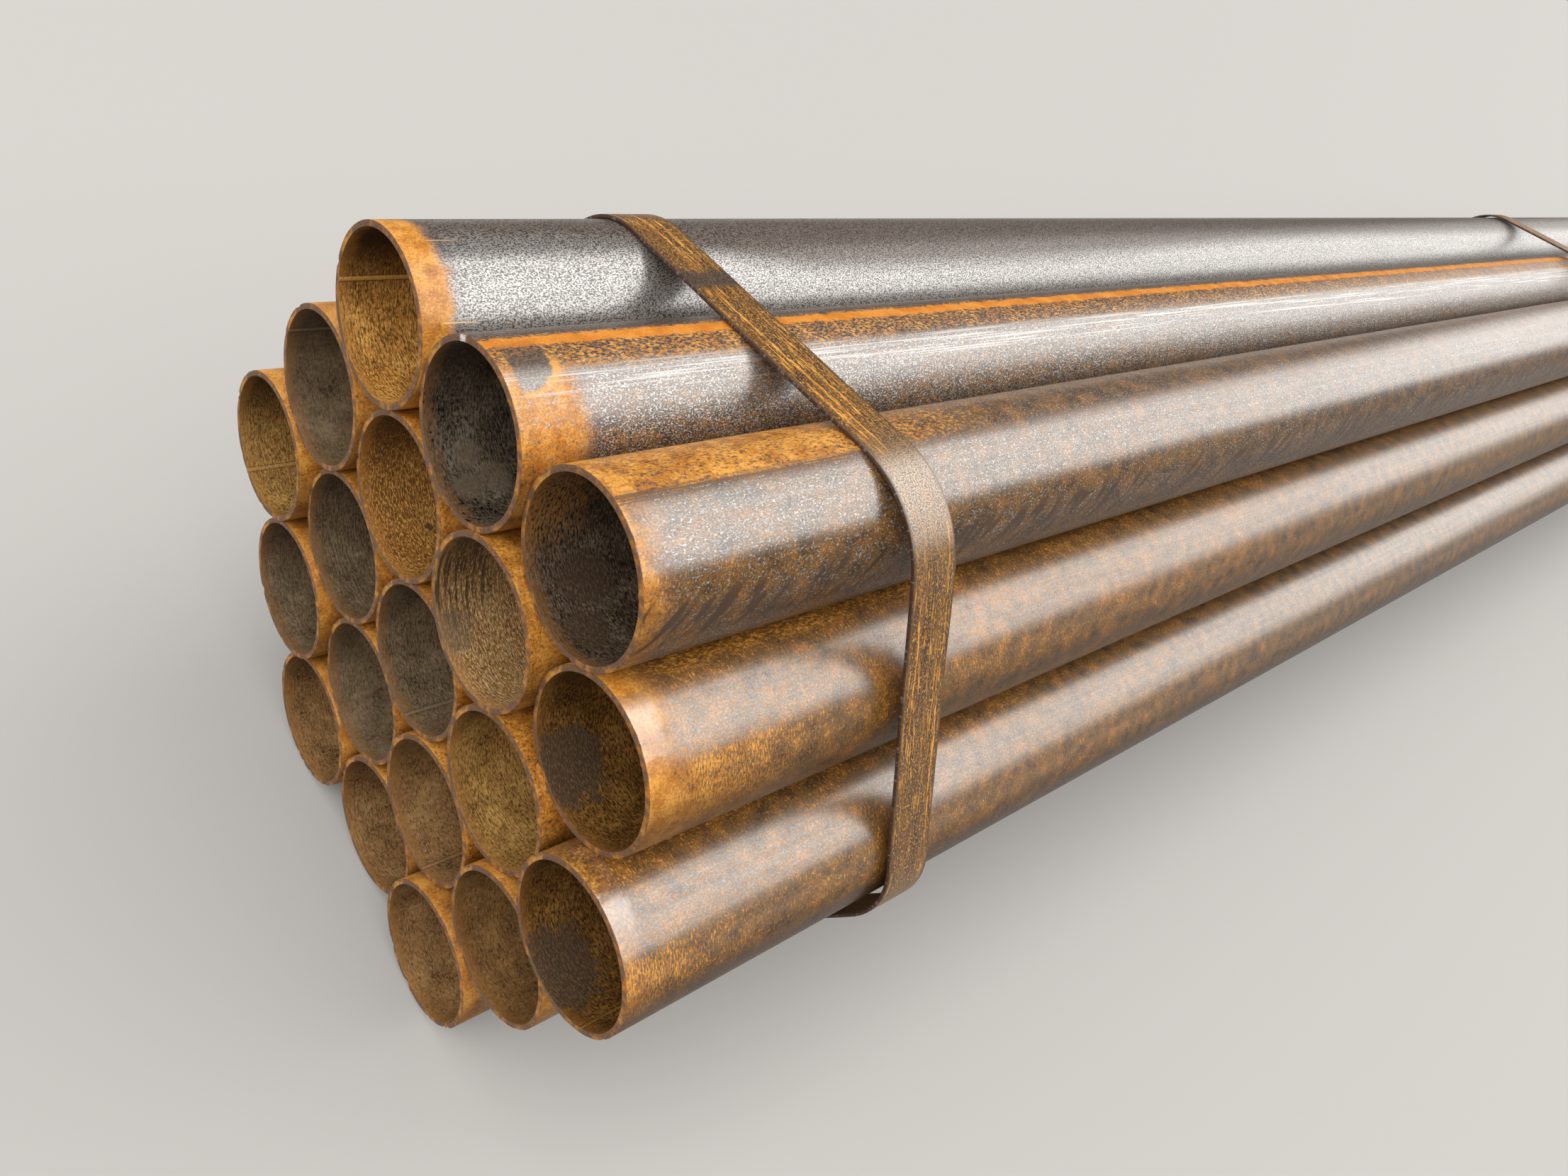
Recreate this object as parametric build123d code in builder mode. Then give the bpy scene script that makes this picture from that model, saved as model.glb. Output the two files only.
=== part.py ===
"""Hexagonal bundle of welded steel pipes, tied with flat steel straps.

Millimetres. X runs along the pipes, away from the ends that face the viewer, and Z is up.
The origin is on the floor, at the middle of the bundle, which lies on its straps.
"""

import os
from math import cos, radians, sin, sqrt, tan

from build123d import *

# Pipe: longitudinally welded steel tube, 4 inch nominal size, in its 6 m stock length
pipe_diameter = 114.3
pipe_wall = 4.0
pipe_length = 6000.0
edge_break = 0.5

# Stack: clearance between neighbouring pipes
pipe_gap = 0.3

# How far each pipe is pushed back from the mean, row by row from the top.
# A row goes from +Y to -Y, left to right for someone who faces the near ends.
end_shifts = (
    (-1, 1, 7),
    (-1, 2, 0, 9),
    (-4, 4, 5, 2, -9),
    (-1, 7, 3, -3),
    (5, 7, -7),
)

# Strap: one flat strip wound once round the bundle
strap_width = 40.0
strap_thickness = 3.0
strap_gap = 0.3
strap_end_margin = 200.0

# Lap: the strip's end lies on its start, on the upper flank on the +Y side.
# Distances go up that flank from the outermost pipe of the middle row.
lap_start = 122.0
lap_length = 80.0
lap_ramp = 8.0
leaf_gap = 0.3
weld_leg = 3.5

# Loose bend: a slack strap stands off the top row's -Y pipe, and bends wider than the pipe there
bend_ease = 1.5

# Each strap's move along the bundle from its even place, its skew in plan in degrees, and how far
# it stands off the first and last pipe of the top, the upper -Y and the lower -Y flank
straps = (
    {"move": 0.0, "skew": 4.6, "top": (0.0, 0.0), "upper": (17.0, 4.0), "lower": (8.0, 0.0)},
    {"move": -22.0, "skew": 8.0, "top": (3.0, 20.0), "upper": (17.0, 3.0), "lower": (4.0, 0.0)},
    {"move": 14.0, "skew": -1.5, "top": (0.0, 0.0), "upper": (0.0, 0.0), "lower": (0.0, 0.0)},
    {"move": 6.0, "skew": 2.0, "top": (0.0, 0.0), "upper": (5.0, 0.0), "lower": (0.0, 0.0)},
)

# Places that follow from the sizes above
bore_radius = pipe_diameter / 2 - pipe_wall
pipe_pitch = pipe_diameter + pipe_gap
row_rise = pipe_pitch * sqrt(3) / 2
middle_row = len(end_shifts) // 2
snug_radius = pipe_diameter / 2 + strap_gap
bundle_height = 2 * (middle_row * row_rise + snug_radius + strap_thickness)
strap_spacing = (pipe_length - 2 * strap_end_margin) / (len(straps) - 1)
hexagon_sides = 6
side_angle = 360 / hexagon_sides


def pipe_places():
    """Gives each pipe's Y, its height above the bundle's middle, and its push along X."""
    for level, row in enumerate(end_shifts):
        for place, shift in enumerate(row):
            y = ((len(row) - 1) / 2 - place) * pipe_pitch
            yield y, (middle_row - level) * row_rise, shift


def corner_pipe(side):
    """The centre of the corner pipe where a side starts, going round from the top row's +Y pipe."""
    return Vector(middle_row * pipe_pitch, 0).rotate(Axis.Z, (side + 1) * side_angle)


def outward(side):
    """The direction that a side of the hexagon faces."""
    return Vector(0, 1).rotate(Axis.Z, side * side_angle)


def side_line(side, stand_offs):
    """The line of the strap's inner face along a side, past its two corner pipes."""
    first, last = stand_offs
    start = corner_pipe(side) + outward(side) * (snug_radius + first)
    end = corner_pipe(side + 1) + outward(side) * (snug_radius + last)
    return Axis(start, end - start)


def strap_points(strap):
    """The corners of the strap's inner face, from its covered end round to its welded end."""
    tight = (0.0, 0.0)
    lap_side = hexagon_sides - 1
    up_flank = (corner_pipe(0) - corner_pipe(lap_side)).normalized()
    flank_foot = corner_pipe(lap_side) + outward(lap_side) * snug_radius
    upper_leaf = flank_foot + outward(lap_side) * (strap_thickness + leaf_gap)
    covered_end = flank_foot + up_flank * lap_start
    knee = upper_leaf + up_flank * (lap_start - lap_ramp)
    welded_end = upper_leaf + up_flank * (lap_start + lap_length)

    lines = [side_line(lap_side, tight), side_line(0, strap["top"]), side_line(1, strap["upper"])]
    lines += [side_line(2, strap["lower"]), side_line(3, tight), side_line(4, tight)]
    lines.append(Axis(flank_foot, knee - flank_foot))
    corners = [line.intersect(following) for line, following in zip(lines, lines[1:])]
    return [covered_end, *corners, knee, welded_end]


def outer_points(points):
    """The corners of the strap's outer face, one thickness to the right of the inner one."""
    lines = []
    for start, end in zip(points, points[1:]):
        outward_step = (end - start).normalized().rotate(Axis.Z, -90) * strap_thickness
        lines.append(Axis(start + outward_step, end - start))
    corners = [line.intersect(following) for line, following in zip(lines, lines[1:])]
    return [lines[0].position, *corners, points[-1] + outward_step]


def strap_bends(strap):
    """The inner radius at each corner of the strap, and at the knee below its welded end."""
    bends = [snug_radius] * (hexagon_sides + 1)
    bends[1] += bend_ease * max(strap["top"][1], strap["upper"][0])
    return bends


os.makedirs("parts", exist_ok=True)

# Pipes: square-cut tubes with the sharp outer rim taken off
for number, (y, height, shift) in enumerate(pipe_places(), start=1):
    near_end = Plane(
        origin=(shift - pipe_length / 2, y, bundle_height / 2 + height),
        x_dir=(0, 1, 0),
        z_dir=(1, 0, 0),
    )
    with BuildPart() as pipe:
        with BuildSketch(near_end):
            Circle(pipe_diameter / 2)
            Circle(bore_radius, mode=Mode.SUBTRACT)
        extrude(amount=pipe_length)
        rims = pipe.edges().filter_by(GeomType.CIRCLE).group_by(SortBy.RADIUS)[-1]
        chamfer(rims, edge_break)
    pipe.part.label = f"pipe_{number:02}"
    export_step(pipe.part, f"parts/{pipe.part.label}.step")

# Straps: the strip's course and its weld, drawn across the bundle and cut to the strip's two edges
for number, strap in enumerate(straps, start=1):
    middle = strap_end_margin + (number - 1) * strap_spacing + strap["move"] - pipe_length / 2
    edge_direction = Vector(cos(radians(strap["skew"])), sin(radians(strap["skew"])))
    half_width = strap_width / 2 / edge_direction.X
    reach = strap_width + bundle_height * abs(tan(radians(strap["skew"])))
    across = Plane(
        origin=(middle - reach, 0, bundle_height / 2),
        x_dir=(0, 1, 0),
        z_dir=(1, 0, 0),
    )
    points = strap_points(strap)
    bends = strap_bends(strap)
    up_flank = (points[-1] - points[-2]).normalized()
    toe = points[-1] - outward(hexagon_sides - 1) * leaf_gap

    with BuildPart() as band:
        with BuildSketch(across):
            with BuildLine():
                inner = FilletPolyline(*points, radius=bends)
                outer = FilletPolyline(
                    *outer_points(points),
                    radius=[bend + strap_thickness for bend in bends],
                )
                Line(inner @ 0, outer @ 0)
                Line(inner @ 1, outer @ 1)
            make_face()
            with BuildLine():
                Polyline(
                    toe,
                    toe + up_flank * weld_leg,
                    points[-1] + outward(hexagon_sides - 1) * strap_thickness,
                    close=True,
                )
            make_face()
        extrude(amount=2 * reach)
        near_edge = Plane(origin=(middle - half_width, 0, 0), z_dir=edge_direction)
        split(bisect_by=near_edge, keep=Keep.TOP)
        far_edge = Plane(origin=(middle + half_width, 0, 0), z_dir=edge_direction)
        split(bisect_by=far_edge, keep=Keep.BOTTOM)
    band.part.label = f"strap_{number}"
    export_step(band.part, f"parts/{band.part.label}.step")
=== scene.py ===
"""Finishes a strapped bundle of welded steel pipes: walls, bores, ends, straps and welds.

Metres. X runs along the pipes, away from the mouths that face the camera, and Z is up.
A clock angle goes round a pipe from its top, in degrees, positive towards -Y.
"""

import math
import random
from dataclasses import dataclass

import bpy
import numpy as np
from bpy.props import FloatProperty, FloatVectorProperty, IntProperty, PointerProperty
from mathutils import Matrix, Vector


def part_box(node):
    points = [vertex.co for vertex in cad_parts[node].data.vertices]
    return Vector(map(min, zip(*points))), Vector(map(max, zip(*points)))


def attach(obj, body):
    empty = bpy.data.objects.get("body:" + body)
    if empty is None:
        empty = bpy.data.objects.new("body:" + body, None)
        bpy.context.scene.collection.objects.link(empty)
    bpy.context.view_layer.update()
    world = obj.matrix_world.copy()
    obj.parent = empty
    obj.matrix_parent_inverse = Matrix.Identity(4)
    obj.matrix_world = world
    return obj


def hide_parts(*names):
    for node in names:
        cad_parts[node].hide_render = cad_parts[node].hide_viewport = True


bl_info = {
    "name": "Pipe Bundle",
    "version": (1, 0, 0),
    "blender": (4, 5, 0),
    "location": "View3D > Sidebar > Pipe Bundle",
    "description": "Builds the rusty pipes, straps and welds of a bundle on its packed model",
    "category": "Add Mesh",
}

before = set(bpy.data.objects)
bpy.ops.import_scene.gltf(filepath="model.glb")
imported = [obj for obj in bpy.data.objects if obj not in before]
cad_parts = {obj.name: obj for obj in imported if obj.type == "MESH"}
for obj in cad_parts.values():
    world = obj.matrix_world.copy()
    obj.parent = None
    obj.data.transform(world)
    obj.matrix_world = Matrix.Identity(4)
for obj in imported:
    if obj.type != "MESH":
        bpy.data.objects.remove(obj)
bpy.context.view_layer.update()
PIPE_NODES = sorted(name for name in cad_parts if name.startswith("pipe_"))
STRAP_NODES = sorted(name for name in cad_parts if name.startswith("strap_"))
FIRST_PIPE_LOW, FIRST_PIPE_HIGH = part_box(PIPE_NODES[0])
PIPE_LENGTH = FIRST_PIPE_HIGH.x - FIRST_PIPE_LOW.x

# Pipes: how far rings of points are from the mouths, how deep the saw's waves are in a rim,
# from which angle on edges are sharp, and which pipe has a bright nick, at which clock angle
RING_PLACES = (0.003, 0.008, 0.02, 0.05, 0.12, 0.3, 0.8, 1.6)
RIM_WAVE = 0.00006
PIPE_SHARP_ANGLE = 38.0
NICKED_PIPE, NICK_CLOCK = "pipe_02", -28.0

# Straps: points across the outer and the inner face, as shares of half the width
FACE_PLACES = {
    (1.0, 1.0): (0.9, 0.6, 0.3, 0.0, -0.3, -0.6, -0.9),
    (-1.0, 0.0): (-0.9, -0.45, 0.0, 0.45, 0.9),
}
COURSE_SPACING = 0.008
STRAP_SHARP_ANGLE = 50.0
# The corner whose shoulder is rubbed and gets a painted highlight
RUBBED_AND_HIGHLIGHT_CORNER = 1
LAP_SIDE = 5
SWAY, FINE_SWAY, SWELL = 0.0003, 0.0002, 0.00006
STRAP_MEASURES = ("along", "across", "edge", "bend")

# Weld beads
BEAD_SIDES = 16
BEAD_STEP, BEAD_INSET, BEAD_TAPER, BEAD_LAG = 0.0004, 0.0015, 0.003, 0.0009
RIPPLE_LENGTH = 0.0017

FLOOR_CELLS = 12

# Colours of marks, beside those that the settings hold
FILM_DARK = (0.055, 0.025, 0.010, 1.0)
FILM_SPECK = (0.045, 0.021, 0.010, 1.0)
LINE_RUST = (0.72, 0.22, 0.018, 1.0)
BARE_DARK, BARE_BRIGHT = (0.05, 0.045, 0.042, 1.0), (0.20, 0.19, 0.18, 1.0)
SCRATCH = (0.85, 0.55, 0.25, 1.0)
STRIPE = (0.07, 0.033, 0.014, 1.0)
# Painted shade: dark and bright colour of the dull side towards the top of a pipe
PAINTED_SHADE_DARK, PAINTED_SHADE_BRIGHT = (0.034, 0.021, 0.014, 1.0), (0.135, 0.10, 0.078, 1.0)
# Painted shade over the low side of a pipe
PAINTED_LOW_SHADE = (0.022, 0.011, 0.006, 1.0)
# Painted shade over the upper inside of a bore
PAINTED_CROWN_SHADE = (0.020, 0.007, 0.002, 1.0)
LIP = (0.34, 0.14, 0.03, 1.0)
OCHRE = (0.30, 0.135, 0.032, 1.0)
DRIP = (0.045, 0.030, 0.022, 1.0)
STAIN_DARK, STAIN_BRIGHT = (0.062, 0.038, 0.021, 1.0), (0.13, 0.086, 0.052, 1.0)
DUST = (0.165, 0.122, 0.078, 1.0)
PIT = (0.004, 0.003, 0.003, 1.0)
SAW_MARK = (0.06, 0.028, 0.014, 1.0)
NICK = (0.75, 0.75, 0.76, 1.0)
STRAP_GROUND = (0.038, 0.021, 0.010, 1.0)
STRAP_FILM = (0.23, 0.10, 0.018, 1.0)
# Lighter, warmer shoulder: partly rubbed steel, partly a painted highlight
STRAP_RUBBED_AND_HIGHLIGHT = (0.44, 0.25, 0.08, 1.0)
STRAP_RUN = (0.026, 0.014, 0.007, 1.0)
PATCH_DARK, PATCH_BRIGHT = (0.030, 0.021, 0.015, 1.0), (0.09, 0.062, 0.045, 1.0)
FLOOR_BLOTCH, FLOOR_BOUNCE = (0.5, 0.5, 0.5, 1.0), (0.06, 0.06, 0.06, 1.0)
SKY_COLOUR = (1.0, 0.975, 0.94, 1.0)

# The base reflects little of the sky, so that rust stays dull under the clear layer
DULL_BASE = {"IOR": 1.5, "Specular IOR Level": 0.3}


@dataclass(frozen=True)
class WallLook:
    """How the outside of one pipe has weathered. Shares go from 0 to 1.

    The top band, the line, the rolled and polished bands and the wet patch are pairs of clock
    angles, and a pair of equal ones leaves the mark out. The gloss fades between the two angles
    of dull. A shade paints shade on a darker, duller side towards the top; it has the clock
    angles that its border lies between, and a drift. Painted shade also darkens the low side.
    The spread of flecks has a length, a clock angle and a share, a bare patch a start, a length,
    a clock angle and a turn, and a scratch a start, an end and a clock angle.
    """

    bright_grains: float = 0.36
    shine: float = 0.3
    film: float = 0.75
    flecks: float = 0.28
    slant: float = 0.0
    top: tuple = (-70.0, 0.0)
    top_cover: float = 0.4
    top_fade: float = 0.2
    line: tuple = (0.0, 0.0)
    rolled: tuple = (0.0, 0.0)
    polished: tuple = (0.0, 0.0)
    mouth: float = 0.03
    mouth_from: float = -200.0
    mouth_softness: float = 0.016
    mouth_cover: float = 0.75
    stripes: float = 0.0
    gloss: float = 0.85
    near_gloss: float = 1.0
    matt: float = 0.0
    dull: tuple = (38.0, 74.0)
    sheen: float = 0.32
    wet: tuple = (0.0, 0.0)
    wet_length: float = 0.0
    # Painted shade: a darker, duller side towards the top
    shade: tuple = ()
    sparkle: float = 0.35
    # Strength of the painted shade on the low side
    painted_low_shade: float = 0.45
    spread: tuple = (0.0, 0.0, 0.0)
    gold: float = 0.42
    bare: tuple = ()
    scratches: tuple = ()


@dataclass(frozen=True)
class BoreLook:
    """How the inside of one pipe has weathered, and the clock angle of its weld seam.

    Pits, stains, dust, ochre and drips are patches: distance from the mouth, clock angle and reach.
    """

    tone: str = "tan"
    seam: float = 150.0
    streaks: float = 0.4
    flecks: float = 0.35
    pits: tuple = ()
    # Strength of the painted shade over the upper inside
    painted_crown_shade: float = 0.5
    stains: tuple = ()
    dust: tuple = ()
    ochre: tuple = ()
    drips: tuple = ()


GREY_WALL = WallLook(
    bright_grains=0.5, shine=0.66, film=0.14, flecks=0.02, top_cover=0.05, mouth=0.021, gloss=0.65,
    mouth_softness=0.005, mouth_cover=1.05, dull=(50.0, 84.0), sheen=0.26, shade=(-6.0, 16.0, 31.0),
    sparkle=0.42, painted_low_shade=0.1, scratches=((0.018, 0.041, 6.5), (0.012, 0.039, 60.0)),
)
STRIPED_WALL = WallLook(
    bright_grains=0.42, shine=0.6, film=0.44, flecks=0.22, top=(-18.0, 16.0), top_cover=0.5,
    top_fade=0.04, line=(-15.0, -4.0), polished=(15.0, 33.0), mouth=0.044, mouth_from=10.0,
    mouth_cover=0.72, mouth_softness=0.009, gloss=0.88, dull=(32.0, 60.0),
    bare=(0.007, 0.029, 10.0, 20.0), shade=(8.0, 15.0, 4.0), sparkle=0.34,
)
ORANGE_WALL = WallLook(
    bright_grains=0.42, shine=0.35, film=0.64, flecks=0.2, slant=0.2, top=(-75.0, 6.0),
    top_cover=0.64, top_fade=0.44, rolled=(4.0, 14.0), mouth=0.012, mouth_cover=0.66, stripes=0.9,
    gloss=1.0, dull=(40.0, 66.0), sheen=0.26, spread=(0.03, 46.0, 0.3), near_gloss=0.76,
)
BROWN_WALL = WallLook(top_cover=0.35, mouth=0.016, mouth_cover=0.85, gloss=0.9)
INNER_WALL = WallLook(
    bright_grains=0.3, shine=0.2, film=0.85, flecks=0.42, top=(-180.0, 180.0), top_cover=0.42,
    mouth=0.04, mouth_cover=0.6, gloss=0.2,
)

WALLS = {
    "pipe_01": GREY_WALL,
    "pipe_02": STRIPED_WALL,
    "pipe_03": ORANGE_WALL,
    "pipe_04": WallLook(film=0.5, flecks=0.2, top=(-80.0, 30.0), gloss=0.6),
    "pipe_07": WallLook(
        film=1.0, flecks=0.3, top=(-75.0, -6.0), top_cover=0.45, mouth=0.02, mouth_cover=0.95,
        gloss=1.0, near_gloss=0.93, matt=0.16, wet=(-2.0, 40.0), wet_length=0.02,
        spread=(0.15, 42.0, 0.35), gold=0.5, painted_low_shade=0.6,
    ),
    "pipe_08": WallLook(flecks=0.35, mouth=0.04, gloss=0.5),
    "pipe_12": WallLook(
        film=1.0, flecks=0.28, top=(-75.0, -10.0), top_cover=0.3, mouth=0.008, mouth_cover=0.5,
        gloss=1.0, near_gloss=0.94, matt=0.16, wet=(2.0, 42.0), wet_length=0.018,
        spread=(0.11, 44.0, 0.2), gold=0.46, painted_low_shade=0.8,
    ),
    **dict.fromkeys(("pipe_13", "pipe_16", "pipe_17", "pipe_18", "pipe_19"), BROWN_WALL),
}

BORES = {
    "pipe_01": BoreLook("ochre", seam=-99.0, streaks=0.4, flecks=0.42, painted_crown_shade=1.0),
    "pipe_02": BoreLook(
        "slate", seam=30.0, streaks=0.25, flecks=0.42, painted_crown_shade=0.6,
        pits=((0.010, -116.0, 0.017), (0.016, 166.0, 0.019)),
        dust=((0.026, -145.0, 0.009), (0.019, -170.0, 0.010), (0.038, -165.0, 0.012)),
    ),
    "pipe_03": BoreLook(
        "umber", seam=60.0, streaks=0.25, flecks=0.46, painted_crown_shade=0.5,
        stains=((0.036, -148.0, 0.016), (0.022, 179.0, 0.014)), ochre=((0.004, -82.0, 0.036),),
    ),
    "pipe_04": BoreLook("grey", seam=-79.0, streaks=0.3, flecks=0.22),
    "pipe_05": BoreLook(
        "ochre", seam=20.0, streaks=0.7, flecks=0.45, painted_crown_shade=0.8, stains=((0.041, -162.0, 0.003),),
    ),
    "pipe_06": BoreLook(
        "gold", seam=95.0, streaks=0.75, flecks=0.4, painted_crown_shade=0.7, dust=((0.008, -142.0, 0.015),),
        drips=((0.008, -104.0, 0.034),),
    ),
    "pipe_07": BoreLook(
        "olive", seam=40.0, streaks=0.3, flecks=0.45, stains=((0.016, -150.0, 0.025),),
    ),
    "pipe_08": BoreLook("straw", seam=-150.0, streaks=0.4, flecks=0.42, painted_crown_shade=0.8),
    "pipe_09": BoreLook("grey", seam=70.0, streaks=0.5, flecks=0.2),
    "pipe_10": BoreLook("grey", seam=175.0, streaks=0.35, flecks=0.35),
    "pipe_11": BoreLook("straw", seam=110.0, streaks=0.35, flecks=0.38, painted_crown_shade=0.7),
    "pipe_12": BoreLook(
        "olive", seam=139.0, streaks=0.4, flecks=0.42, stains=((0.014, -172.0, 0.026),),
    ),
    "pipe_13": BoreLook("grey", seam=-20.0, streaks=0.4, flecks=0.25),
    "pipe_14": BoreLook("grey", seam=45.0, streaks=0.3, flecks=0.2),
    "pipe_15": BoreLook("tan", seam=162.0, streaks=0.3, flecks=0.3),
    "pipe_16": BoreLook("fawn", seam=10.0, streaks=0.3, flecks=0.3),
    "pipe_17": BoreLook("tan", seam=80.0, streaks=0.4, flecks=0.25),
    "pipe_18": BoreLook("tan", seam=-60.0, streaks=0.4, flecks=0.3),
    "pipe_19": BoreLook("tan", seam=120.0, streaks=0.3, flecks=0.3),
}

# Dark, middle and bright colour of each kind of bore
BORE_TONES = {
    "ochre": ((0.11, 0.043, 0.010), (0.55, 0.24, 0.045), (0.97, 0.54, 0.14)),
    "gold": ((0.12, 0.06, 0.024), (0.70, 0.38, 0.13), (0.98, 0.68, 0.32)),
    "straw": ((0.09, 0.045, 0.012), (0.34, 0.175, 0.045), (0.62, 0.37, 0.11)),
    "olive": ((0.025, 0.010, 0.002), (0.125, 0.052, 0.009), (0.32, 0.16, 0.035)),
    "tan": ((0.06, 0.030, 0.011), (0.24, 0.125, 0.046), (0.42, 0.25, 0.10)),
    "fawn": ((0.05, 0.024, 0.008), (0.17, 0.085, 0.028), (0.33, 0.18, 0.06)),
    "grey": ((0.045, 0.028, 0.014), (0.145, 0.098, 0.053), (0.27, 0.195, 0.115)),
    "umber": ((0.010, 0.006, 0.003), (0.070, 0.045, 0.026), (0.22, 0.165, 0.115)),
    "slate": ((0.006, 0.004, 0.003), (0.080, 0.058, 0.036), (0.22, 0.18, 0.13)),
}


@dataclass(frozen=True)
class StrapRun:
    """Where one strap runs: its move from its even place, its skew in degrees, and its slack.

    Each pair of slacks says how far the strap stands off the first and the last pipe of a side.
    A rust line has a start and an end along the strap, a place across it, a lean and a width.
    A dull patch has a place along the strap and a reach.
    """

    move: float
    skew: float
    top: tuple = (0.0, 0.0)
    upper: tuple = (0.0, 0.0)
    lower: tuple = (0.0, 0.0)
    lines: tuple = ()
    dull: tuple = ()


STRAP_RUNS = (
    StrapRun(
        0.0, 4.6, upper=(0.017, 0.004), lower=(0.008, 0.0),
        lines=(
            (0.135, 0.232, -0.002, 0.03, 0.0012),
            (0.150, 0.225, 0.008, 0.02, 0.0010),
            (0.236, 0.420, -0.006, 0.01, 0.0016),
            (0.300, 0.400, 0.003, 0.02, 0.0010),
            (0.340, 0.430, -0.012, 0.02, 0.0012),
            (0.500, 0.640, -0.011, 0.0, 0.0008),
            (0.450, 0.700, 0.014, 0.0, 0.0009),
        ),
        dull=((0.228, 0.013),),
    ),
    StrapRun(-0.022, 8.0, top=(0.003, 0.020), upper=(0.017, 0.003), lower=(0.004, 0.0)),
    StrapRun(0.014, -1.5),
    StrapRun(0.006, 2.0, upper=(0.005, 0.0)),
)


class PipeSizes(bpy.types.PropertyGroup):
    """Sizes of the pipe pieces."""

    diameter: FloatProperty(
        name="Diameter", description="Outer diameter of a pipe", unit="LENGTH",
        default=FIRST_PIPE_HIGH.y - FIRST_PIPE_LOW.y,
    )
    wall: FloatProperty(
        name="Wall", description="Wall thickness of a pipe", unit="LENGTH", default=0.004,
    )
    rim_round: FloatProperty(
        name="Rim Round", description="Radius that takes the sharp outer rim off",
        unit="LENGTH", default=0.0005,
    )
    seam_height: FloatProperty(
        name="Seam Height", description="Height of the weld bead left inside a pipe",
        unit="LENGTH", default=0.0007,
    )
    seam_width: FloatProperty(
        name="Seam Width", description="Width of the weld bead left inside a pipe",
        unit="LENGTH", default=0.0022,
    )
    nick_depth: FloatProperty(
        name="Nick Depth", description="Deepest handling nick in a rim",
        unit="LENGTH", default=0.0009,
    )
    segments: IntProperty(
        name="Segments", description="Faces round a pipe", default=180, min=48, max=360,
    )


class StrapSizes(bpy.types.PropertyGroup):
    """Sizes of the straps and their laps."""

    width: FloatProperty(
        name="Width", description="Width of the flat strip", unit="LENGTH", default=0.040,
    )
    thickness: FloatProperty(
        name="Thickness", description="Thickness of the flat strip", unit="LENGTH", default=0.003,
    )
    edge_round: FloatProperty(
        name="Edge Round", description="Radius of the strip's long edges",
        unit="LENGTH", default=0.0008,
    )
    gap: FloatProperty(
        name="Gap", description="Clearance between a tight strap and a pipe",
        unit="LENGTH", default=0.0003,
    )
    end_margin: FloatProperty(
        name="End Margin", description="From a pipe's end to the middle of the outermost strap",
        unit="LENGTH", default=0.200,
    )
    lap_start: FloatProperty(
        name="Lap Start", description="From the outermost pipe up the flank to the covered end",
        unit="LENGTH", default=0.122,
    )
    lap_length: FloatProperty(
        name="Lap Length", description="How far the welded end reaches past the covered end",
        unit="LENGTH", default=0.080,
    )
    lap_ramp: FloatProperty(
        name="Lap Ramp", description="Length of the step on to the covered end",
        unit="LENGTH", default=0.008,
    )
    leaf_gap: FloatProperty(
        name="Leaf Gap", description="Clearance between the lap's two leaves",
        unit="LENGTH", default=0.0003,
    )
    bend_ease: FloatProperty(
        name="Bend Ease", description="How much wider a slack strap bends, per length of slack",
        default=1.5,
    )
    weld_radius: FloatProperty(
        name="Weld Radius", description="Radius of the weld bead across the lap",
        unit="LENGTH", default=0.0031,
    )


COLOUR = {"subtype": "COLOR", "size": 4, "min": 0.0, "max": 1.0}


class FinishColours(bpy.types.PropertyGroup):
    """Colours of mill scale, rust and strap steel."""

    scale_dark: FloatVectorProperty(
        name="Dark Scale", description="Mill scale between the bright grains",
        **COLOUR, default=(0.032, 0.024, 0.019, 1.0),
    )
    scale_bright: FloatVectorProperty(
        name="Bright Scale", description="Polished grains of mill scale",
        **COLOUR, default=(0.56, 0.54, 0.52, 1.0),
    )
    film: FloatVectorProperty(
        name="Rust Film", description="Thin brown film over the scale",
        **COLOUR, default=(0.20, 0.098, 0.020, 1.0),
    )
    rust_dark: FloatVectorProperty(
        name="Dark Rust", description="Old, dense rust",
        **COLOUR, default=(0.15, 0.058, 0.014, 1.0),
    )
    rust_middle: FloatVectorProperty(
        name="Orange Rust", description="Main colour of the rust",
        **COLOUR, default=(0.50, 0.185, 0.018, 1.0),
    )
    rust_bright: FloatVectorProperty(
        name="Bright Rust", description="Fresh, powdery rust",
        **COLOUR, default=(0.80, 0.38, 0.07, 1.0),
    )
    heat_tint: FloatVectorProperty(
        name="Heat Tint", description="Purplish edge of a rust band",
        **COLOUR, default=(0.11, 0.06, 0.065, 1.0),
    )
    rim: FloatVectorProperty(
        name="Cut Edge", description="Sawn end of a pipe",
        **COLOUR, default=(0.15, 0.078, 0.040, 1.0),
    )
    strap: FloatVectorProperty(
        name="Strap", description="Olive-brown face of a strap",
        **COLOUR, default=(0.115, 0.064, 0.024, 1.0),
    )
    strap_edge: FloatVectorProperty(
        name="Strap Edge", description="Sheared side edge of a strap",
        **COLOUR, default=(0.050, 0.020, 0.011, 1.0),
    )
    weld: FloatVectorProperty(
        name="Weld", description="Steel of the weld beads",
        **COLOUR, default=(0.34, 0.34, 0.33, 1.0),
    )

    def rust(self):
        """The rust's dark, middle and bright colour."""
        return self.rust_dark, self.rust_middle, self.rust_bright


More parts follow.
